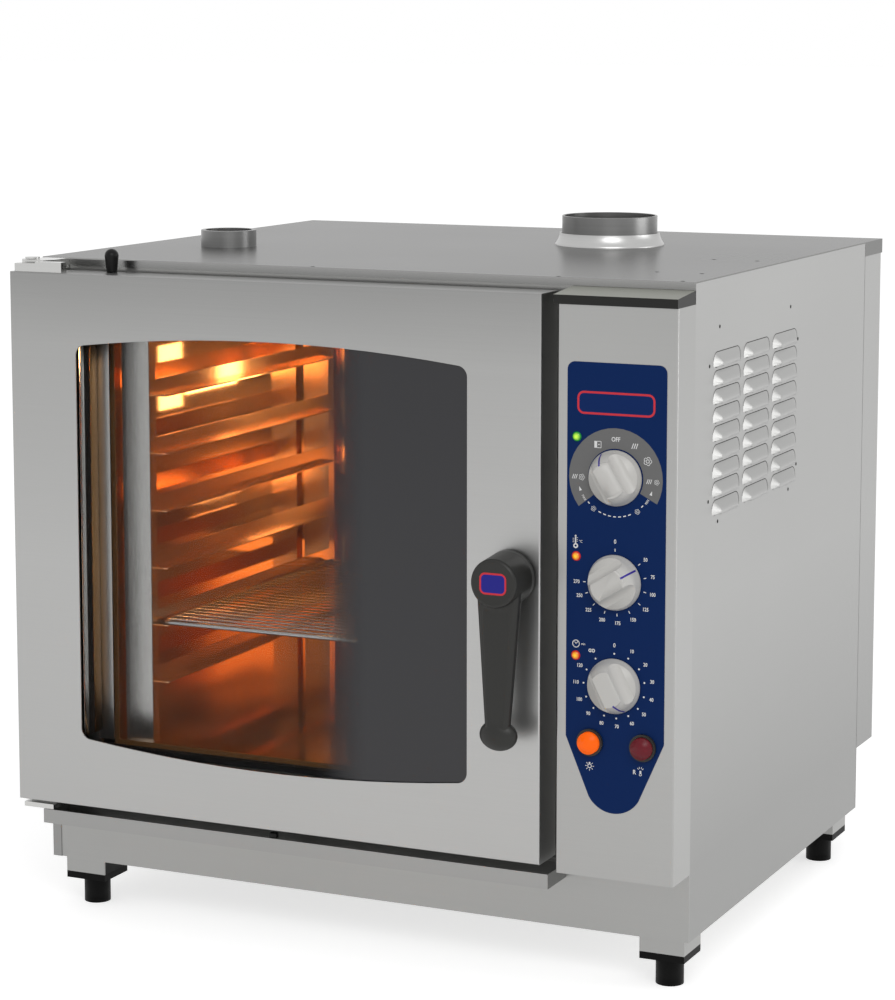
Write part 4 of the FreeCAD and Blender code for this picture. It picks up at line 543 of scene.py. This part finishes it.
for node in ("mode_knob", "thermostat_knob", "timer_knob"):
    smooth_copy(node, node, 24)
smooth_copy("handle_lever", "handle", 40, face_back=0.0002, foot_off=0.0001)
smooth_copy("door_peg", "door", 40)
for node, slot in (("flue_collar", "polished_steel"), ("button_bezels", "black_plastic"),
                   ("pilot_lamps", "pilot_lens"), ("feet", "black_plastic"), ("fan_motor", "motor_paint"),
                   ("steam_pipe", "copper_pipe"), ("drain_pipe", "polished_steel"),
                   ("wire_shelf", "cavity_steel")):
    smooth_copy(node, "cabinet", 35)
pressed_panel("right_side_panel")
turned_tube("flue_tube")
turned_tube("vent_tube")
smooth_copy("lamp_button", "lamp_button", 35)
smooth_copy("reset_button", "reset_button", 35)

# ---------------------------------------------------------------- flat print, drawn in millimetres


def clock(radius, angle, x=0.0, y=0.0):
    """The point at a clock angle, in degrees, round a centre."""
    turn = math.radians(angle)
    return x + radius * math.sin(turn), y + radius * math.cos(turn)


def turned(x, y, angle=0.0):
    """A place on the print, turned clockwise by an angle in degrees."""
    return Matrix.Translation((x, y, 0)) @ Matrix.Rotation(math.radians(-angle), 4, "Z")


def bar(work, width, height, x, y, angle=0.0):
    bmesh.ops.create_grid(work, x_segments=1, y_segments=1, size=0.5,
                          matrix=turned(x, y, angle) @ Matrix.Diagonal((width, height, 1, 1)))


def dot(work, radius, x, y, corners=20):
    bmesh.ops.create_circle(work, cap_ends=True, segments=corners, radius=radius, matrix=turned(x, y))


def band(work, inner, outer, x, y, start=0.0, end=360.0):
    """Part of a flat ring between two clock angles."""
    ends = [work.verts.new((*clock(radius, start, x, y), 0)) for radius in (inner, outer)]
    edge = work.edges.new(ends)
    bmesh.ops.spin(work, geom=[*ends, edge], cent=(x, y, 0), axis=(0, 0, -1), angle=math.radians(end - start),
                   steps=max(2, round((end - start) / 9)), use_merge=end - start >= 360)


def lettering(work, words, height, x, y, angle=0.0):
    """Printed figures or words, centred on a point; small ones have thinner strokes."""
    narrow = 0.85
    curve = bpy.data.curves.new("lettering", "FONT")
    curve.body = words
    curve.align_x, curve.align_y = "CENTER", "CENTER"
    curve.size = height * 1.4
    curve.offset = 0.14 if height > 3 else 0.05
    curve.resolution_u = 3
    holder = bpy.data.objects.new("lettering", curve)
    flat = bpy.data.meshes.new_from_object(holder)
    flat.transform(turned(x, y, angle) @ Matrix.Diagonal((narrow, 1, 1, 1)))
    work.from_mesh(flat)
    bpy.data.objects.remove(holder)
    bpy.data.curves.remove(curve)
    bpy.data.meshes.remove(flat)


def rounded_plate(width, height, corner, border, x, y):
    """A flat plate with rounded corners: its border takes the first material and its field the second."""
    work = bmesh.new()
    made = bmesh.ops.create_grid(work, x_segments=1, y_segments=1, size=0.5,
                                 matrix=turned(x, y) @ Matrix.Diagonal((width, height, 1, 1)))
    bmesh.ops.bevel(work, geom=made["verts"], offset=corner, offset_type="OFFSET", affect="VERTICES",
                    segments=6, profile=0.5, material=-1)
    field = max(work.faces, key=lambda face: face.calc_area())
    rim = bmesh.ops.inset_individual(work, faces=[field], thickness=border, use_even_offset=True)["faces"]
    field.material_index = 1
    for face in rim:
        face.material_index = 0
    return work


def stand_up(work, centre, lift):
    """Turns flat work to face the front, over a centre in the row frame and lifted by some millimetres."""
    work.normal_update()
    bmesh.ops.reverse_faces(work, faces=[face for face in work.faces if face.normal.z < 0])
    bmesh.ops.transform(
        work, verts=work.verts,
        matrix=Matrix.Translation(centre - Vector((0, lift * mm, 0))) @ Matrix.Rotation(math.pi / 2, 4, "X")
        @ Matrix.Scale(mm, 4))


# ---------------------------------------------------------------- marks that the print is made of


def slashes(work, x, y, size=1.0):
    """Three leaning strokes, for hot air."""
    for step in (-1, 0, 1):
        bar(work, 1.0 * size, 6.4 * size, x + step * 2.5 * size, y, 20)


def steam(work, x, y, size=1.0):
    """A puff of steam round a small whirl."""
    band(work, 1.5 * size, 2.3 * size, x, y)
    for angle in (20, 92, 164, 236, 308):
        band(work, 1.5 * size, 2.2 * size, *clock(2.9 * size, angle, x, y), angle - 95, angle + 95)


def rays(work, x, y, inner, outer, angles, width=0.7):
    """Short strokes that point away from a centre."""
    for angle in angles:
        bar(work, width, outer - inner, *clock((inner + outer) / 2, angle, x, y), angle)


def open_box(work, x, y):
    """A solid upright with an empty box and a dot beside it."""
    bar(work, 3.4, 7.6, x, y)
    bar(work, 4.6, 0.7, x + 4.2, y + 3.6)
    bar(work, 4.6, 0.7, x + 4.2, y - 3.6)
    bar(work, 0.7, 7.6, x + 6.4, y)
    dot(work, 0.8, x + 3.8, y)


def thermometer(work, x, y):
    """A bulb and stem with two short scales."""
    band(work, 1.3, 2.9, x, y)
    bar(work, 1.6, 8.0, x - 0.1, y + 6.6)
    dot(work, 1.1, x - 0.1, y + 11.2)
    for step in range(3):
        bar(work, 1.9, 0.55, x - 2.7, y + 4.2 + step * 2.0)
        bar(work, 1.3, 0.55, x + 1.9, y + 5.2 + step * 2.0)


def arrow_head(work, x, y, tilt):
    """A slim triangle at the end of a ring of dashes."""
    bmesh.ops.create_circle(work, cap_ends=True, segments=3, radius=3.0,
                            matrix=turned(x, y, tilt) @ Matrix.Diagonal((0.62, 1.15, 1, 1)))


def clock_face(work, x, y):
    """A ring with two hands."""
    band(work, 3.6, 4.5, x, y)
    bar(work, 0.8, 3.0, x - 0.8, y + 1.0, -42)
    bar(work, 0.8, 3.6, x + 1.1, y + 1.2, 42)


# ---------------------------------------------------------------- print on the control film

joints = {joint["name"]: Vector(joint["pos_m"])
          for joint in frame["record"]["behaviour"]["joints"] if joint["type"] == "hinge"}
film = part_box("control_overlay")[0].y
# Heights of the layers of print over the film, in millimetres.
arch_lift, plate_lift, print_lift = 0.08, 0.12, 0.2


def dial_centre(joint):
    return Vector((joints[joint].x, film, joints[joint].z))


def mode_dial_arch():
    work = bmesh.new()
    band(work, 33, 56, 0, 0, -128, 118)
    stand_up(work, dial_centre("mode_turn"), arch_lift)
    make_piece(work, "mode_dial_arch", "cabinet", grey_print)


def blank_name_plate():
    work = rounded_plate(93, 26, corner=8, border=2.4, x=0, y=83)
    stand_up(work, dial_centre("mode_turn"), plate_lift)
    make_piece(work, "blank_name_plate", "cabinet", [red_border, plate_blue])


def blank_hub_badge():
    """A badge on the handle's hub, which turns with it."""
    work = rounded_plate(33, 25, corner=7, border=2.2, x=0, y=0)
    hub = joints["handle_turn"]
    stand_up(work, Vector((hub.x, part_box("handle_lever")[0].y, hub.z)), 0.0)
    make_piece(work, "blank_hub_badge", "handle", [red_border, badge_blue])


def mode_dial_print():
    """Marks for hot air, steam and both on the arch, and a ring of dashes for the steam's strength."""
    ring = (43.1, 44.3)
    ring_end = 45.0
    work = bmesh.new()
    lettering(work, "OFF", 5.0, 0, 43.2)
    slashes(work, 22.6, 37.2)
    steam(work, 38.0, 21.2)
    slashes(work, 40.0, -1.4, 0.85)
    steam(work, 49.0, -1.8, 0.62)
    slashes(work, -49.0, -1.0, 0.85)
    steam(work, -40.5, -1.4, 0.72)
    open_box(work, -24.0, 36.6)
    for start in range(155, 211, 8):
        band(work, *ring, 0, 0, start, start + 4.5)
    for angle, words in ((123, "MIN"), (237, "MAX")):
        lettering(work, words, 2.9, *clock(ring_end, angle), angle - 180)
    for angle, tilt in ((109.5, 20), (250.5, -20)):
        arrow_head(work, *clock(ring_end, angle), tilt)
    for start in (131, 225):
        band(work, *ring, 0, 0, start, start + 4)
    for angle in (144, 216):
        steam(work, *clock(44.6, angle), 0.62)
    stand_up(work, dial_centre("mode_turn"), print_lift)
    make_piece(work, "mode_dial_print", "cabinet", white_print)


def thermostat_dial_print():
    """The thermostat's scale in degrees, with a thermometer beside it."""
    scale = ((0, 0), (50, 52), (75, 78), (100, 103), (125, 127), (150, 151.5), (175, 175.5), (200, 199),
             (225, 223), (250, 247), (270, 267))
    work = bmesh.new()
    for figure, angle in scale:
        rays(work, 0, 0, 35.2, 38.4, (angle,), width=1.0)
        lettering(work, str(figure), 4.8 if figure == 0 else 4.1, *clock(46.2, angle))
    thermometer(work, -47.5, 38.4)
    lettering(work, "°C", 3.0, -41.2, 43.4)
    stand_up(work, dial_centre("thermostat_turn"), print_lift)
    make_piece(work, "thermostat_dial_print", "cabinet", white_print)


def timer_dial_print():
    """The timer's scale in minutes, ending in a dot and a joined pair of rings for staying on."""
    dot_angles = (0, 27, 53.5, 79, 104.5, 129, 152, 175.5, 198.7, 222, 245.5, 270.5, 295.5, 322.5)
    work = bmesh.new()
    for number, angle in enumerate(dot_angles):
        dot(work, 1.1, *clock(37.0, angle), corners=14)
        if angle != dot_angles[-1]:
            lettering(work, str(number * 10), 4.8 if number == 0 else 4.1, *clock(46.4, angle))
    for x in (-29.2, -25.4):
        band(work, 1.1, 2.1, x, 38.2)
    bar(work, 3.4, 1.0, -27.3, 38.2)
    clock_face(work, -46.4, 44.6)
    lettering(work, "min", 2.8, -37.6, 44.8)
    stand_up(work, dial_centre("timer_turn"), print_lift)
    make_piece(work, "timer_dial_print", "cabinet", white_print)


def button_print():
    """A lamp under the lamp button, and a letter and a flame under the reset button."""
    lamp = middle_of("lamp_button")
    reset = (middle_of("reset_button").x - lamp.x) / mm
    work = bmesh.new()
    band(work, 1.7, 2.6, -0.5, -27.6)
    rays(work, -0.5, -27.6, 3.4, 5.4, range(45, 316, 45))
    bar(work, 2.0, 2.2, -0.5, -24.2)
    lettering(work, "R", 5.2, reset - 10.3, -29.2)
    bar(work, 2.2, 3.6, reset - 3.0, -28.6)
    band(work, 1.0, 1.7, reset - 3.0, -31.2, 60, 300)
    rays(work, reset - 3.0, -27.0, 2.6, 4.8, (-50, -18, 18, 50))
    stand_up(work, Vector((lamp.x, film, lamp.z)), print_lift)
    make_piece(work, "button_print", "cabinet", white_print)


def pointer_mark(knob, angle):
    """A painted line down the end of a knob's grip, cut from the knob's own skin."""
    half_width, inner_end, outer_end, paint = 0.0011, 0.0190, 0.0309, 0.00007
    work = welded(knob)
    turn = math.radians(angle)
    along = Vector((math.sin(turn), 0, math.cos(turn)))
    across = along.cross(Vector((0, 1, 0)))
    centre = middle_of(knob)
    for way, reach in ((across, half_width), (-across, half_width), (-along, -inner_end), (along, outer_end)):
        bmesh.ops.bisect_plane(work, geom=[*work.verts, *work.edges, *work.faces],
                               plane_co=centre + way * reach, plane_no=way, clear_outer=True)
    work.normal_update()
    hidden = [face for face in work.faces if face.normal.y > -0.1 or face.normal.dot(along) < 0.02]
    bmesh.ops.delete(work, geom=hidden, context="FACES")
    for vert in work.verts:
        vert.co += vert.normal * paint
    make_piece(work, f"{knob}_mark", knob, mark_blue)


mode_dial_arch()
blank_name_plate()
blank_hub_badge()
mode_dial_print()
thermostat_dial_print()
timer_dial_print()
button_print()
pointer_mark("mode_knob", -31)
pointer_mark("thermostat_knob", 58)
pointer_mark("timer_knob", 153)

# ---------------------------------------------------------------- strips round the panes and the base


def upright_strip(name, body, material, low, high):
    """A thin flat strip between two corners in the row frame, its edges eased."""
    work = bmesh.new()
    size = high - low
    eased_block(work, (low + high) / 2, size, offset=min(size) * 0.3, segments=2)
    make_piece(work, name, body, material, 40)


def pane_strips():
    """The spacers and seals between the two panes at each side, and the strip at the inner pane's edge."""
    outer_low, outer_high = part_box("outer_glass")
    inner_low, inner_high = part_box("inner_glass")
    behind_rim, wall, end_gap = 0.0142, 0.001, 0.030
    layers = (("pane_spacer", polished_steel, "polished_steel", 0.0004, 0.0112),
              ("spacer_seal", seal_rubber, "seal_rubber", 0.0114, 0.0240),
              ("inner_spacer", spacer_amber_reflection, "polished_steel", 0.0242, inner_low.y - outer_high.y - 0.0020))
    sides = (("left", outer_low.x + behind_rim, -1), ("right", outer_high.x - behind_rim, 1))
    for hand, edge, outwards in sides:
        near, far = sorted((edge, edge + outwards * wall))
        for part, material, slot, start, end in layers:
            upright_strip(f"{hand}_{part}", "door", material,
                          Vector((near, outer_high.y + start, outer_low.z + end_gap)),
                          Vector((far, outer_high.y + end, outer_high.z - end_gap)))
    cavity_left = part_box("cavity_shell")[0].x
    upright_strip("inner_pane_strip", "door", casing_steel,
                  Vector((cavity_left - 0.019, inner_low.y - 0.0017, inner_low.z + 0.012)),
                  Vector((cavity_left + 0.002, inner_low.y - 0.0005, inner_high.z - 0.012)))


def base_corner_strip():
    """Covers the joint between the left side panel and the plinth."""
    low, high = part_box("plinth_front")
    upright_strip("base_corner_strip", "cabinet", base_steel,
                  Vector((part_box("left_side_panel")[1].x - 0.0005, high.y + 0.0005, low.z + 0.001)),
                  Vector((low.x + 0.001, high.y + 0.0017, high.z - 0.001)))


pane_strips()
base_corner_strip()

# ---------------------------------------------------------------- small fittings and holes

proud = 0.0001
face_side = Matrix.Rotation(math.pi / 2, 4, "Y")


def spot(work, radius, place, facing=Matrix()):
    """A small round spot just off a sheet, facing up unless it is turned."""
    bmesh.ops.create_circle(work, cap_ends=True, segments=16, radius=radius,
                            matrix=Matrix.Translation(place) @ facing)


def side_panel_rivets():
    """Two rivets in each of four rows round the louvres."""
    rows = ((762.2, 79.9, 335.2), (720, 47.2, 365), (565, 47.2, 365), (537.8, 79.9, 335.2))
    work = bmesh.new()
    for up, *backs in rows:
        for back in backs:
            spot(work, 0.0022, Vector((side + proud, at(0, back, 0).y, up * mm)), face_side)
    make_piece(work, "side_panel_rivets", "cabinet", hole_black)


def side_seam():
    """The gap between the right side panel and the rear cover."""
    width, bottom, top = 0.0009, 0.062, cover_top - 0.002
    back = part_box("right_side_panel")[1].y - 0.0005
    work = bmesh.new()
    bmesh.ops.create_grid(work, x_segments=1, y_segments=1, size=0.5,
                          matrix=Matrix.Translation((side + proud, back, (bottom + top) / 2))
                          @ face_side @ Matrix.Diagonal((top - bottom, width, 1, 1)))
    make_piece(work, "side_seam", "cabinet", seam_shadow)


def cover_screw_holes():
    """Four holes towards the right of the top cover, and three along its front edge."""
    places = [(across, back) for back in (107, 301) for across in (765, 820)]
    places += [(across, 6) for across in (834, 684, 370)]
    work = bmesh.new()
    for across, back in places:
        place = at(across, back, 0)
        spot(work, 0.0026, Vector((place.x, place.y, cover_top + proud)))
    make_piece(work, "cover_screw_holes", "cabinet", hole_black)


def gutter_clip():
    """A black clip on the front of the drip gutter."""
    low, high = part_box("drip_gutter")
    work = bmesh.new()
    eased_block(work, Vector((at(343, 0, 0).x, low.y + 0.005, high.z + 0.003)), (0.010, 0.008, 0.007),
                offset=0.002, segments=3)
    make_piece(work, "gutter_clip", "cabinet", black_plastic, 40)


side_panel_rivets()
side_seam()
cover_screw_holes()
gutter_clip()

# ---------------------------------------------------------------- light


def seen_directly(tree):
    """1 where the eye, a mirror or glass looks straight at the surface."""
    path = add(tree, "ShaderNodeLightPath")
    both = math_node(tree, "MAXIMUM", path.outputs["Is Camera Ray"], path.outputs["Is Glossy Ray"])
    return math_node(tree, "MAXIMUM", both, path.outputs["Is Transmission Ray"])


def hang_lamp(name, data, place, power, colour):
    data.energy = power
    data.color = colour
    lamp = bpy.data.objects.new(name, data)
    bpy.context.scene.collection.objects.link(lamp)
    lamp.location = place
    return lamp


def area_light(name, place, aim, size, power, colour=(1, 1, 1)):
    data = bpy.data.lights.new(name, "AREA")
    data.shape = "RECTANGLE"
    data.size, data.size_y = size
    lamp = hang_lamp(name, data, place, power, colour)
    lamp.rotation_euler = (Vector(aim) - Vector(place)).to_track_quat("-Z", "Y").to_euler()
    return lamp


def studio_light():
    """An even white room with a large soft lamp in front and a weaker one at the right side."""
    world = bpy.data.worlds.new("studio")
    world.use_nodes = True
    bpy.context.scene.world = world
    tree = world.node_tree
    sky = tree.nodes["Background"]
    sky.inputs["Color"].default_value = (1, 1, 1, 1)
    tree.links.new(fit(tree, seen_directly(tree), 0, 1, 0.55, 1.0), sky.inputs["Strength"])
    area_light("key_light", (1.8, -3.2, 2.8), (0, 0, 0.4), (2.4, 1.8), 45)
    area_light("side_light", (3.6, 1.1, 0.75), (0.4, 0, 0.6), (2.0, 1.7), 25)


def cavity_light():
    """Two bulbs under the cavity's roof, a low fill, and the glow on the wall below the lamp glasses."""
    for name, across in (("cavity_left_lamp", 221.5), ("cavity_right_lamp", 391.5)):
        bulb = bpy.data.lights.new(name, "POINT")
        bulb.shadow_soft_size = 0.02
        hang_lamp(name, bulb, at(across, 200, 748), 0.95, (1.0, 0.54, 0.21))
    fill = area_light("cavity_fill", at(470, 90, 290), at(150, 330, 270), (0.20, 0.28), 0.76,
                      (1.0, 0.56, 0.24))
    fill.visible_camera = False
    for name, place, size, power in (
        ("lens_glow", (176, 268, 642), (0.060, 0.085), 0.20),
        ("upper_glow", (176, 376, 622), (0.140, 0.018), 0.15),
        ("lower_glow", (176, 381, 473), (0.120, 0.016), 0.14),
    ):
        across, back, up = place
        glow = area_light(name, at(*place), at(across - 100, back, up), size, power, (1.0, 0.62, 0.27))
        glow.visible_camera = False


def studio_floor():
    """A pale floor that takes the oven's shadow."""
    work = bmesh.new()
    bmesh.ops.create_grid(work, x_segments=1, y_segments=1, size=60)
    mesh = bpy.data.meshes.new("studio_floor")
    work.to_mesh(mesh)
    work.free()
    floor = bpy.data.objects.new("studio_floor", mesh)
    bpy.context.scene.collection.objects.link(floor)
    material, tree, shader = new_material("pale_floor")
    shader.inputs["Base Color"].default_value = (0.82, 0.82, 0.82, 1)
    shader.inputs["Roughness"].default_value = 0.9
    shader.inputs["Specular IOR Level"].default_value = 0.0
    shader.inputs["Emission Color"].default_value = (1, 1, 1, 1)
    tree.links.new(fit(tree, seen_directly(tree), 0, 1, 0.0, 0.6), shader.inputs["Emission Strength"])
    mesh.materials.append(material)


studio_light()
studio_floor()
cavity_light()

# ---------------------------------------------------------------- camera

eye = bpy.data.cameras.new("camera")
eye.sensor_width = 36
eye.lens = 106.17
eye.shift_y = -0.1
camera = bpy.data.objects.new("camera", eye)
bpy.context.scene.collection.objects.link(camera)
camera.location = (1.54685, -3.37845, 1.1109)
look_down, look_left = 7.4, 24.835
camera.rotation_euler = (math.radians(90 - look_down), 0, math.radians(look_left))
bpy.context.scene.camera = camera

bpy.context.scene.view_settings.view_transform = "Standard"
